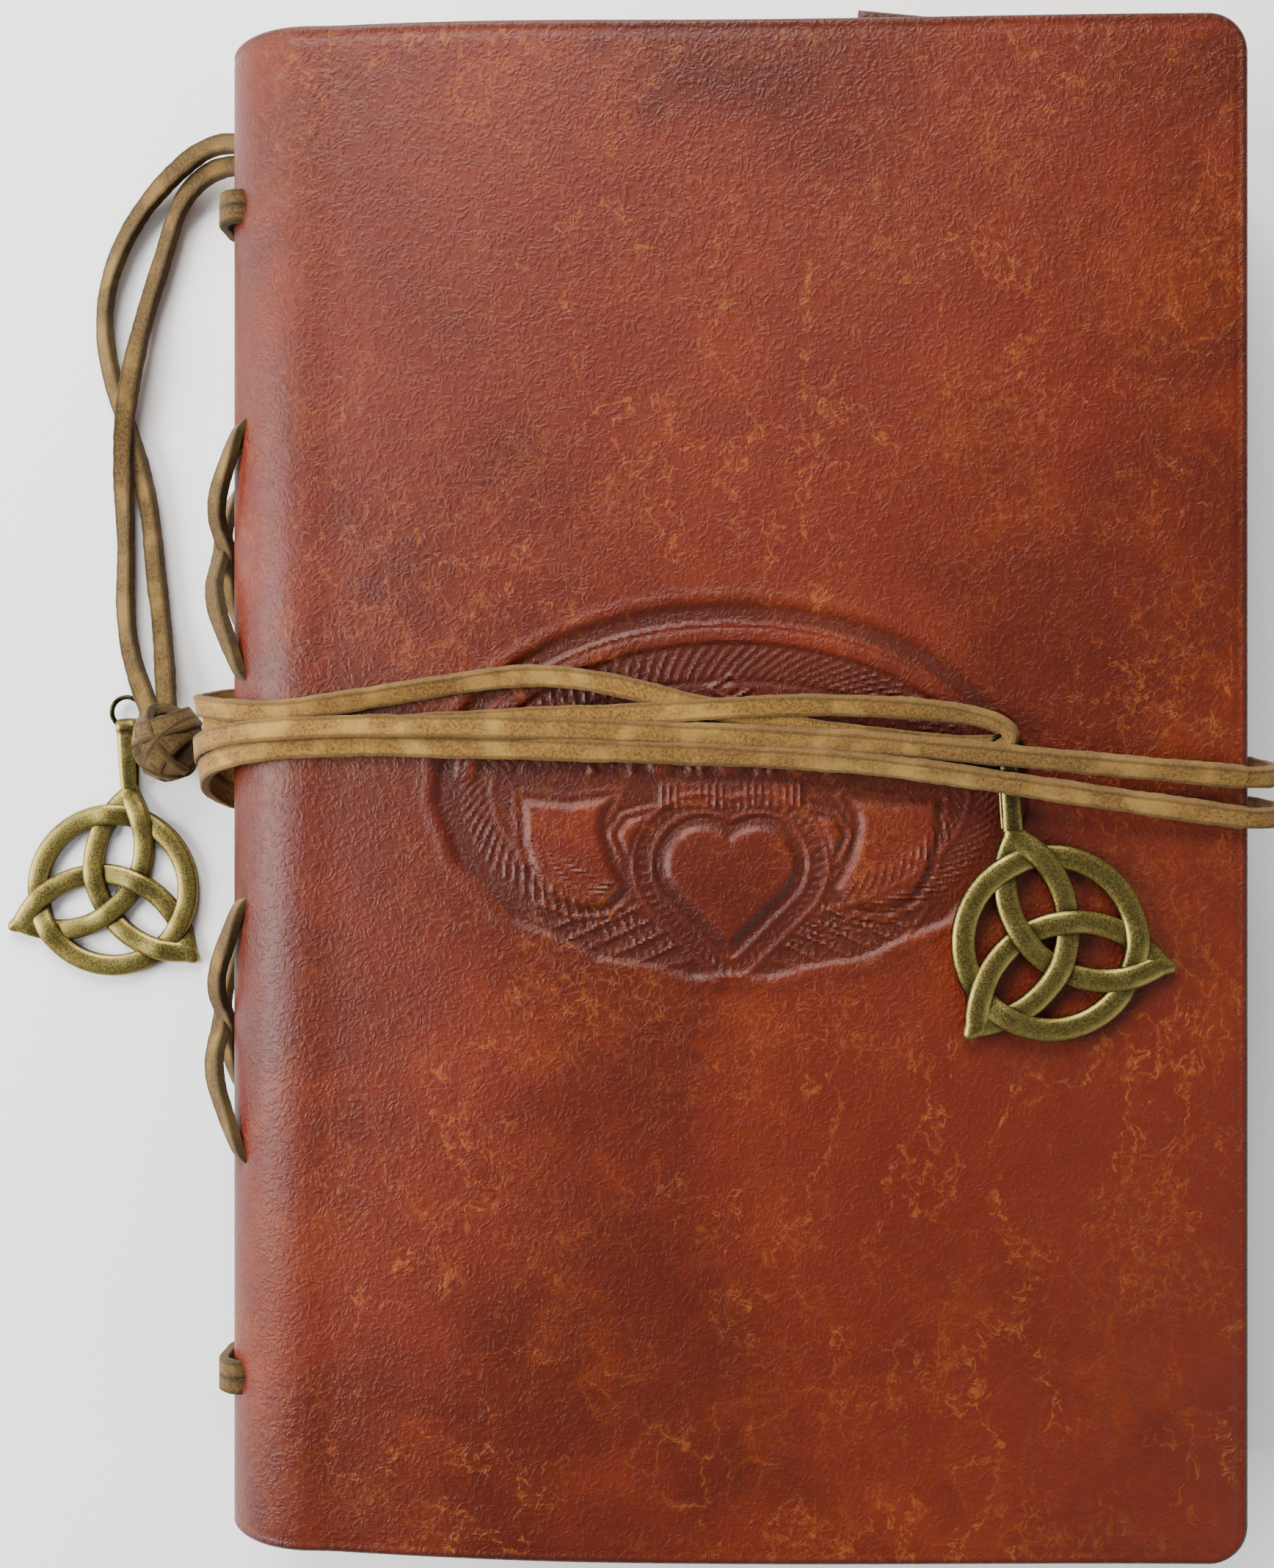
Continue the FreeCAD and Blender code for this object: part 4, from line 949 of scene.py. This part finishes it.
def even_line(line, step=0.0006):
    """The same line with its points at equal steps."""
    run = run_along(line)
    count = max(int(run[-1] / step), 6)
    even = np.linspace(0, run[-1], count)
    return np.stack([np.interp(even, run, line[:, k]) for k in range(3)], 1)


def lace(name, routes, node, body, material=SUEDE, wide=3.0, thick=1.5):
    """Laces along their routes. Each route is (points, facing, twists)."""
    lines, paths = [], []
    for points, facing, twists in routes:
        line = even_line(routed(name + "_route", points))
        paths.append(line)
        lines.append((line, *lace_frames(line, facing, twists, points)))
    piece = lace_mesh(name, lines, material, wide, thick)
    if body == "turn":
        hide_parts(node)
        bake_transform(piece)
    else:
        stand_in(piece, node, body)
    return piece, paths


ANCHOR_UPPER = [(-0.0730, 0.0001, 0.00957), (-0.0774, 0.0008, 0.0068), (-0.0812, 0.0028, 0.0088),
                (-0.0830, 0.0052, 0.0155), (-0.0804, 0.0069, 0.0220), (-0.0739, 0.0082, 0.0266),
                (-0.0655, 0.0088, 0.0292), (-0.0541, 0.0091, 0.0301)]
ANCHOR_LOWER = [(-0.0730, -0.0025, 0.00957), (-0.0774, -0.0024, 0.0068), (-0.0806, -0.0012, 0.0088),
                (-0.0822, 0.0012, 0.0155), (-0.0797, 0.0035, 0.0216), (-0.0736, 0.0052, 0.0260),
                (-0.0655, 0.0060, 0.0281), (-0.0541, 0.0063, 0.0289)]
FRONT_UPPER = [(-0.0546, 0.0091, 0.0301), (-0.0326, 0.0090, 0.0317), (-0.0114, 0.0081, 0.0316),
               (0.0168, 0.0069, 0.0330), (0.0340, 0.0053, 0.0353), (0.0500, 0.0037, 0.0353),
               (0.0765, 0.0014, 0.0333)]
FRONT_LOWER = [(-0.0546, 0.0063, 0.0288), (-0.0326, 0.0058, 0.0306), (-0.0114, 0.0052, 0.0314),
               (0.0168, 0.0040, 0.0324), (0.0340, 0.0017, 0.0349), (0.0500, -0.0009, 0.0349),
               (0.0765, -0.0046, 0.0333)]
EDGE_UPPER = [(0.0762, 0.0014, 0.0333), (0.0812, 0.0013, 0.0326), (0.0828, 0.0022, 0.0280),
              (0.0818, 0.0036, 0.0150), (0.0804, 0.0036, 0.0050), (0.0784, 0.0033, 0.0012),
              (0.0741, 0.0036, 0.0008)]
EDGE_LOWER = [(0.0762, -0.0046, 0.0333), (0.0814, -0.0048, 0.0326), (0.0830, -0.0038, 0.0280),
              (0.0820, -0.0026, 0.0150), (0.0804, -0.0024, 0.0050), (0.0786, -0.0027, 0.0012),
              (0.0741, -0.0024, 0.0008)]
TURN_UPPER = [(-0.0622, 0.0152, 0.0008), (-0.0696, 0.0154, 0.0012), (-0.0792, 0.0146, 0.0050),
              (-0.0832, 0.0129, 0.0140), (-0.0806, 0.0124, 0.0214), (-0.0742, 0.0114, 0.0256),
              (-0.0655, 0.0113, 0.0281), (-0.0541, 0.0132, 0.0290)]
TURN_LOWER = [(-0.0622, 0.0116, 0.0008), (-0.0696, 0.0115, 0.0011), (-0.0786, 0.0109, 0.0048),
              (-0.0820, 0.0102, 0.0130), (-0.0799, 0.0099, 0.0202), (-0.0739, 0.0093, 0.0252),
              (-0.0655, 0.0087, 0.0281), (-0.0541, 0.0088, 0.0288)]
TAIL = [(-0.0546, 0.0131, 0.0290), (-0.0420, 0.0152, 0.0300), (-0.0290, 0.0169, 0.0307),
        (-0.0180, 0.0156, 0.0310), (-0.0070, 0.0127, 0.0313), (0.0060, 0.0098, 0.0315),
        (0.0180, 0.0077, 0.0316), (0.0290, 0.0065, 0.0319), (0.0370, 0.0059, 0.0321),
        (0.0420, 0.0061, 0.0326), (0.0414, 0.0089, 0.0332), (0.0366, 0.0106, 0.0332),
        (0.0280, 0.0116, 0.0328), (0.0146, 0.0122, 0.0324), (0.0004, 0.0117, 0.0324),
        (-0.0140, 0.0107, 0.0315), (-0.0330, 0.0102, 0.0307), (-0.0546, 0.0088, 0.0288)]
LEG_LEFT = [(-0.0730, 0.1026, 0.00957), (-0.0776, 0.1052, 0.0072), (-0.0836, 0.1058, 0.0050),
            (-0.0906, 0.1018, 0.0025), (-0.0969, 0.0949, 0.0015), (-0.1009, 0.0866, 0.0015),
            (-0.1025, 0.0776, 0.0015), (-0.1009, 0.0676, 0.0015), (-0.0972, 0.0570, 0.0015),
            (-0.0945, 0.0464, 0.0015), (-0.0936, 0.0354, 0.0015), (-0.0922, 0.0246, 0.0016),
            (-0.0909, 0.0118, 0.0044)]
LEG_RIGHT = [(-0.0730, 0.1000, 0.00957), (-0.0778, 0.1024, 0.0058), (-0.0844, 0.1022, 0.0030),
             (-0.0896, 0.0976, 0.0016), (-0.0922, 0.0884, 0.0016), (-0.0951, 0.0796, 0.0015),
             (-0.0970, 0.0702, 0.0029), (-0.0986, 0.0604, 0.0029), (-0.0989, 0.0498, 0.0017),
             (-0.0984, 0.0394, 0.0015), (-0.0988, 0.0296, 0.0015), (-0.0974, 0.0196, 0.0017),
             (-0.0930, 0.0110, 0.0046)]

lace("wrap_anchor_laces", [(ANCHOR_UPPER, "round", [0, 0, 0, 4, 6, 4, 2, 6]),
                           (ANCHOR_LOWER, "round", [0, 0, 0, 6, 10, 12, 12, 12])],
     "wrap_anchor_turn", "turn", wide=3.4)
lace("wrap_turn_laces", [(TURN_UPPER, "round", [0, 0, 4, 8, 10, 14, 22, 30]),
                         (TURN_LOWER, "round", [0, 0, 0, -4, -6, -4, 0, 4])],
     "wrap_spine_turn", "turn", wide=3.4)
lace("wrap_front_laces", [(FRONT_UPPER, "round", [6, 10, 22, 34, 40, 42, 30]),
                          (FRONT_LOWER, "round", [12, 16, 26, 36, 38, 36, 26])],
     "wrap_front_run", "front", wide=3.4)
up = (0.0, 0.0, 1.0)
tail_piece, tail_paths = lace(
    "wrap_tail_lace",
    [(TAIL, up, [30, 34, 24, 16, 12, 10, 6, 0, 0, -30, -60, -50, -34, -24, -16, -8, -4, -4])],
    "wrap_tail", "front", wide=3.2, thick=1.4)
fore_turn, _ = lace("wrap_edge_laces", [(EDGE_UPPER, "round", [30, 20, 10, 6, 4, 0, 0]),
                                        (EDGE_LOWER, "round", [26, 16, 8, 6, 4, 0, 0])],
                    "wrap_fore_edge_turn", "front")
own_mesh(fore_turn)

BACK_UPPER = [(0.0739, 0.0036, 0.00078), (0.0200, 0.0084, 0.00078), (-0.0620, 0.0152, 0.00078)]
BACK_LOWER = [(0.0739, -0.0024, 0.00078), (0.0200, 0.0034, 0.00078), (-0.0620, 0.0116, 0.00078)]
for name, points, node in (("wrap_back_lace_upper", BACK_UPPER, "wrap_back_run_upper"),
                           ("wrap_back_lace_lower", BACK_LOWER, "wrap_back_run_lower")):
    lace(name, [(points, "round", [0, 0, 0])], node, "book")

left_piece, left_paths = lace("mark_lace_left",
                              [(LEG_LEFT, up, [0, 0, 8, 14, 24, 34, 36, 34, 28, 22, 20, 16, 8])],
                              "bookmark_lace_left", "book", SUEDE_DARK, wide=3.2, thick=1.45)
right_piece, right_paths = lace("mark_lace_right",
                                [(LEG_RIGHT, up, [0, 0, 10, 24, 30, 26, 10, 0, 20, 34, 30, 20, 8])],
                                "bookmark_lace_right", "book", SUEDE_DARK, wide=3.2, thick=1.45)

# the spine's lacing: flat laces out of one row of holes, round the spine and in at the other


def spine_route(y_front, y_back, proud, bow=0.0):
    """From inside the front row's hole, round the apex and in at the back row's, in metres."""
    way_f, way_b = np.array([-0.841, 0.541]), np.array([-0.841, -0.541])
    front_face, back_face = np.array([-75.0, 21.2]), np.array([-74.6, 8.6])
    y0, y1 = y_front, y_back
    stops = [(front_face - 2.6 * way_f, y0), (front_face - 0.6 * way_f, y0),
             (front_face + 1.3 * way_f + np.array([0.1, -0.9]), y0 + 0.10 * (y1 - y0)),
             ((-77.6 - proud - bow, 18.9), y0 + 0.34 * (y1 - y0)),
             ((-77.3 - proud, 14.4), y0 + 0.5 * (y1 - y0)),
             ((-77.4 - proud - 0.5 * bow, 11.6), y0 + 0.66 * (y1 - y0)),
             (back_face + 1.3 * way_b + np.array([0.0, 0.8]), y0 + 0.90 * (y1 - y0)),
             (back_face - 0.6 * way_b, y1), (back_face - 2.6 * way_b, y1)]
    return [(p[0] * MM, y * MM, p[1] * MM) for p, y in stops]


SPINE_MIDDLE = 0.0150


def outward(line, lean):
    """Unit vectors away from the spine's axis, leaning to the front in the middle, for laces round it."""
    way = unit(np.stack([line[:, 0] - SPINE_X * MM, np.zeros(len(line)), line[:, 2] - SPINE_MIDDLE], 1))
    way[:, 2] += lean * np.sin(np.linspace(0, math.pi, len(line))) ** 2
    return unit(way)


def spine_lace(name, routes, node, wide, thick):
    lines = []
    for points in routes:
        line = even_line(routed(name + "_route", points), 0.0005)
        way = unit(np.gradient(line, axis=0))
        face = square_to(way, outward(line, 1.5))
        lines.append((line, np.cross(way, face), face))
    stand_in(lace_mesh(name, lines, SUEDE_DARK, wide, thick), node, "book")


for name, node, y in (("spine_stitch_head", "head_stitch", 90.0),
                      ("spine_stitch_foot", "foot_stitch", -91.6)):
    spine_lace(name, [spine_route(y + 1.25, y + 1.0, 0.55), spine_route(y - 1.25, y - 1.0, 0.55)],
               node, 2.6, 1.5)
for name, node, high, low in (("spine_cross_upper", "upper_cross_lace", 56.5, 16.8),
                              ("spine_cross_lower", "lower_cross_lace", -17.6, -57.8)):
    spine_lace(name, [spine_route(high, low, 0.5, 1.6), spine_route(low, high, 1.9, 0.4)], node, 3.2, 1.5)


# ------------------------------------------------------------------ knots


KNOT_STEPS = 46


def knot_laces(name, centre, radii, loops, node, wide, thick):
    """A pulled-tight knot: bands of lace, each a tilted and shifted loop."""
    lines = []
    for tilt_x, tilt_z, shift, reach, start, stop, grow in loops:
        turn = np.radians(np.linspace(start, stop, KNOT_STEPS))
        ring = np.stack([np.cos(turn) * reach, np.full_like(turn, shift), np.sin(turn) * reach], 1)
        ring *= (1 + grow * np.linspace(0, 1, KNOT_STEPS))[:, None]
        cx, sx, cz, sz = math.cos(tilt_x), math.sin(tilt_x), math.cos(tilt_z), math.sin(tilt_z)
        about_x = np.array([[1, 0, 0], [0, cx, -sx], [0, sx, cx]])
        about_z = np.array([[cz, -sz, 0], [sz, cz, 0], [0, 0, 1]])
        ring = ring @ about_x.T @ about_z.T
        line = (np.array(centre) + ring * np.array(radii)) * MM
        way = unit(np.gradient(line, axis=0))
        face = square_to(way, unit(ring))
        lines.append((line, np.cross(way, face), face))
    return stand_in(lace_mesh(name, lines, SUEDE_DARK, wide, thick, uneven=0.10), node, "book")


mark_knot = knot_laces(
    "mark_knot", (-90.2, 7.6, 5.9), (5.6, 6.8, 5.0),
    [(0.10, 0.25, 0.34, 0.80, -20, 335, 0.02), (0.25, -0.95, -0.10, 0.86, 10, 360, -0.03),
     (-0.20, 0.75, -0.36, 0.78, -60, 280, 0.03), (1.25, 0.2, 0.10, 0.74, 0, 350, -0.05),
     (0.5, -0.35, -0.62, 0.60, 30, 380, 0.02), (-0.45, 0.1, 0.02, 0.62, 0, 340, 0.0)],
    "bookmark_knot", 3.8, 1.6)
for name, node in (("mark_stopper", "bookmark_anchor_knot"), ("wrap_stopper", "wrap_anchor_knot")):
    low, high = (np.array(c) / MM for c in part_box(node))
    mid, half = (low + high) / 2, (high - low) / 2
    knot_laces(name, mid, (0.5, half[1], half[2] * 0.9),
               [(0.1, 0.1, 0.3, 0.8, 0, 350, 0), (0.2, 0.3, -0.4, 0.75, 30, 380, 0),
                (1.2, 0.1, 0.1, 0.6, 0, 350, 0)],
               node, 1.6, 0.45)


# ------------------------------------------------------------------ brass


def tip_reach(circle_centre, arc):
    return (circle_centre + math.sqrt(4 * arc**2 - 3 * circle_centre**2)) / 2


ARC, ARC_CENTRE, CIRCLE, BAND = 14.4, 11.95, 12.6, 3.45
# the bands' underside and thickness, and how far they rise and dip where they cross
LOW, THICK, CROSS_RISE = 0.55, 1.28, 0.50


def band_lines():
    """The woven figure's centre lines, as (points, heights), flat about the origin, one tip at +Y."""
    tip = tip_reach(ARC_CENTRE, ARC)
    arcs = []
    for i in range(3):
        away = math.radians(30 + 120 * i)
        centre = np.array([math.cos(away), math.sin(away)]) * ARC_CENTRE
        ends = []
        for side in (60, -60):
            turn = away + math.radians(side)
            spot = np.array([math.cos(turn), math.sin(turn)]) * tip - centre
            ends.append(math.atan2(spot[1], spot[0]))
        low, high = ends
        while high < low:
            high += 2 * math.pi
        turns = np.linspace(low, high, 150)
        arcs.append(np.stack([centre[0] + ARC * np.cos(turns), centre[1] + ARC * np.sin(turns)], 1))
    full = np.linspace(0, 2 * math.pi, 241)[:-1]
    ring = np.stack([CIRCLE * np.cos(full), CIRCLE * np.sin(full)], 1)
    return arcs, ring


def crossings(line, others, closed=False):
    """Where a line passes each of the others: the index along it of every nearest approach."""
    found = []
    for other in others:
        gap = np.min(np.linalg.norm(line[:, None, :] - other[None, :, :], axis=2), axis=1)
        count = len(gap)
        for k in range(count):
            before = gap[(k - 1) % count] if closed or k > 0 else 1e9
            after = gap[(k + 1) % count] if closed or k < count - 1 else 1e9
            if gap[k] < 0.3 and gap[k] <= before and gap[k] < after:
                found.append(k)
    found.sort()
    kept = []
    for k in found:
        if not kept or k - kept[-1] > 5:
            kept.append(k)
    return kept


def woven_charm(name, node, body, centre, turn, grow):
    arcs, ring = band_lines()
    strands = []
    for i, line in enumerate(arcs):
        inner = line[8:-8]
        marks = [k + 8 for k in crossings(inner, [arcs[(i + 1) % 3], arcs[(i + 2) % 3], ring])]
        signs = [(-1 if n % 2 == 0 else 1) for n in range(len(marks))]
        strands.append((line, marks, signs, False))
    ring_marks = crossings(ring, arcs, closed=True)
    # the circle takes the other height at each of its crossings
    ring_signs = []
    for k in ring_marks:
        best = None
        for line, marks, signs, _ in strands:
            for mark, sign in zip(marks, signs):
                gap = np.linalg.norm(line[mark] - ring[k])
                if best is None or gap < best[0]:
                    best = (gap, sign)
        ring_signs.append(-best[1])
    strands.append((ring, ring_marks, ring_signs, True))
    spots, faces, wear_and_highlight, sunk = [], [], [], []
    # each section point's last number is how bright it is painted: rubbed edges and painted highlight
    profile = [(-1.0, 0.0, 0.25), (-1.0, 0.48, 0.75), (-0.90, 0.78, 1.0), (-0.62, 0.94, 0.75),
               (-0.25, 1.0, 0.60), (0.0, 1.02, 0.62), (0.25, 1.0, 0.60), (0.62, 0.94, 0.75),
               (0.90, 0.78, 1.0), (1.0, 0.48, 0.75), (1.0, 0.0, 0.25), (0.6, -0.08, 0.2), (-0.6, -0.08, 0.2)]
    size = len(profile)
    for line, marks, signs, closed in strands:
        count = len(line)
        run = run_along(line)
        total = run[-1] + (np.linalg.norm(line[0] - line[-1]) if closed else 0)
        way = (np.roll(line, -1, 0) - np.roll(line, 1, 0)) if closed else np.gradient(line, axis=0)
        way = unit(way)
        across = np.stack([-way[:, 1], way[:, 0]], 1)
        rise, dip = np.zeros(count), np.zeros(count)
        for mark, sign in zip(marks, signs):
            gap = np.abs(run - run[mark])
            if closed:
                gap = np.minimum(gap, total - gap)
            near = np.exp(-((gap / 2.5) ** 2))
            rise += sign * CROSS_RISE * near
            if sign < 0:
                dip += np.exp(-((gap / 2.9) ** 2))
        base = len(spots)
        for k in range(count):
            for u, v, shine in profile:
                flat = line[k] + across[k] * (u * BAND / 2)
                spots.append((flat[0], flat[1], LOW + rise[k] + THICK * v))
                wear_and_highlight.append(shine)
                sunk.append(min(min(dip[k], 1.0) * 0.85 + (0.7 if v < 0.5 else 0.0), 1.0))
        faces += skin(base, count, size, closed, turned=True)
    # the tips, where two arcs meet: a round joint drawn out towards a point
    tip = tip_reach(ARC_CENTRE, ARC)
    steps = 40
    for i in range(3):
        away = math.radians(90 + 120 * i)
        out = np.array([math.cos(away), math.sin(away)])
        base = len(spots)
        for reach, high, shine in ((0.0, 0.0, 0.3), (0.0, 0.48, 0.8), (-0.17, 0.78, 1.0), (-0.65, 0.94, 0.75),
                                   (-1.1, 1.0, 0.6)):
            for k in range(steps):
                t = 2 * math.pi * k / steps
                normal = np.array([math.cos(t), math.sin(t)])
                ends = [(tip, BAND / 2), (tip + 1.65, 0.95)]
                far, radius = max(ends, key=lambda e: float(out @ normal) * e[0] + e[1])
                spot = out * far + normal * max(radius + reach, 0.05)
                if far > tip:
                    spot = out * (far + min(reach + radius, 0.0) * 1.3) + normal * max(radius + reach, 0.05)
                spots.append((spot[0], spot[1], LOW + THICK * high))
                wear_and_highlight.append(shine)
                sunk.append(0.0)
        faces += skin(base, 5, steps)
    c, s = grow * math.cos(turn), grow * math.sin(turn)
    placed = [(centre[0] + x * c - y * s, centre[1] + x * s + y * c, centre[2] + z) for x, y, z in spots]
    piece = mesh_piece(name, placed, faces, BRASS, {"wear_and_highlight": wear_and_highlight, "sunk": sunk}, sharp=60.0)
    return stand_in(piece, node, body)


# each charm's centre, turn and size against the CAD solid
PLACE_1 = (-100.9, -17.3, 0.0), math.radians(-10.0), 1.0
PLACE_2 = (47.9, -23.1, 31.6), math.radians(18.5), 1.02
charm_a = woven_charm("knot_charm_1", "charm_1", "pendant_1", *PLACE_1)
charm_b = woven_charm("knot_charm_2", "charm_2", "pendant_2", *PLACE_2)


STRAP_OFF, STRAP_EYE = 0.62, 1.12


def strap_bail(name, node, body, foot, eye_spot, wide_ring, wide_tip):
    """A bent strap: up from the charm's tip, round the ring's wire, and back down behind itself."""
    foot, eye_spot = np.array(foot, float), np.array(eye_spot, float)
    along = eye_spot - foot
    along[2] = 0
    length = np.linalg.norm(along[:2])
    along /= length
    side = np.array([-along[1], along[0], 0.0])
    path, widths = [], []
    for k in range(14):
        t = k / 13
        path.append((t * (length - 1.0), STRAP_OFF + 0.25 * math.sin(t * math.pi)))
        widths.append(wide_tip + (wide_ring - wide_tip) * t)
    for k in range(1, 17):
        turn = math.radians(130 - 250 * k / 16)
        path.append((length + STRAP_EYE * math.cos(turn), STRAP_EYE * math.sin(turn)))
        widths.append(wide_ring)
    for k in range(1, 12):
        t = k / 11
        path.append(((length - 1.0) * (1 - t * 0.95), -STRAP_OFF - 0.15 * math.sin(t * math.pi)))
        widths.append(wide_ring + (wide_tip - wide_ring) * t)
    path = np.array(path)
    way = unit(np.gradient(path, axis=0))
    normal = np.stack([-way[:, 1], way[:, 0]], 1)
    spots, wear_and_highlight = [], []
    # each section point's last number is how bright it is painted: rubbed edges and painted highlight
    shape = [(-1, 0.0, 0.9), (-0.9, 0.28, 1.0), (-0.45, 0.36, 0.5), (0.0, 0.38, 0.45), (0.45, 0.36, 0.5),
             (0.9, 0.28, 1.0), (1, 0.0, 0.9), (0.85, -0.2, 0.3), (-0.85, -0.2, 0.3)]
    size = len(shape)
    for k, (p, q) in enumerate(zip(path, normal)):
        for u, v, shine in shape:
            spots.append(foot + along * (p[0] + q[0] * v) + side * (u * widths[k] / 2)
                         + np.array([0, 0, p[1] + q[1] * v + eye_spot[2] - foot[2]]))
            wear_and_highlight.append(shine)
    fields = {"wear_and_highlight": wear_and_highlight, "sunk": [0.15] * len(spots)}
    piece = mesh_piece(name, spots, skin(0, len(path), size), BRASS, fields, sharp=60.0)
    return stand_in(piece, node, body)


def bail_ends(centre, turn, grow, ring_spot):
    reach = (tip_reach(ARC_CENTRE, ARC) + 1.2) * grow
    foot = np.array([centre[0] - reach * math.sin(turn), centre[1] + reach * math.cos(turn), centre[2]])
    ring = np.array(ring_spot, float)
    inward = foot - ring
    inward[2] = 0
    inward /= np.linalg.norm(inward)
    return foot, ring + inward * 2.5


foot_a, eye_a = bail_ends(*PLACE_1, (-98.4, 12.4, 1.45))
foot_b, eye_b = bail_ends(*PLACE_2, (41.4, 5.2, 32.55))
bail_a = strap_bail("strap_bail_1", "bail_1", "pendant_1", foot_a, eye_a, 3.3, 2.6)
bail_b = strap_bail("strap_bail_2", "bail_2", "pendant_2", foot_b, eye_b, 2.6, 2.9)
finish_node("ring_1", BRASS)
finish_node("ring_2", BRASS)
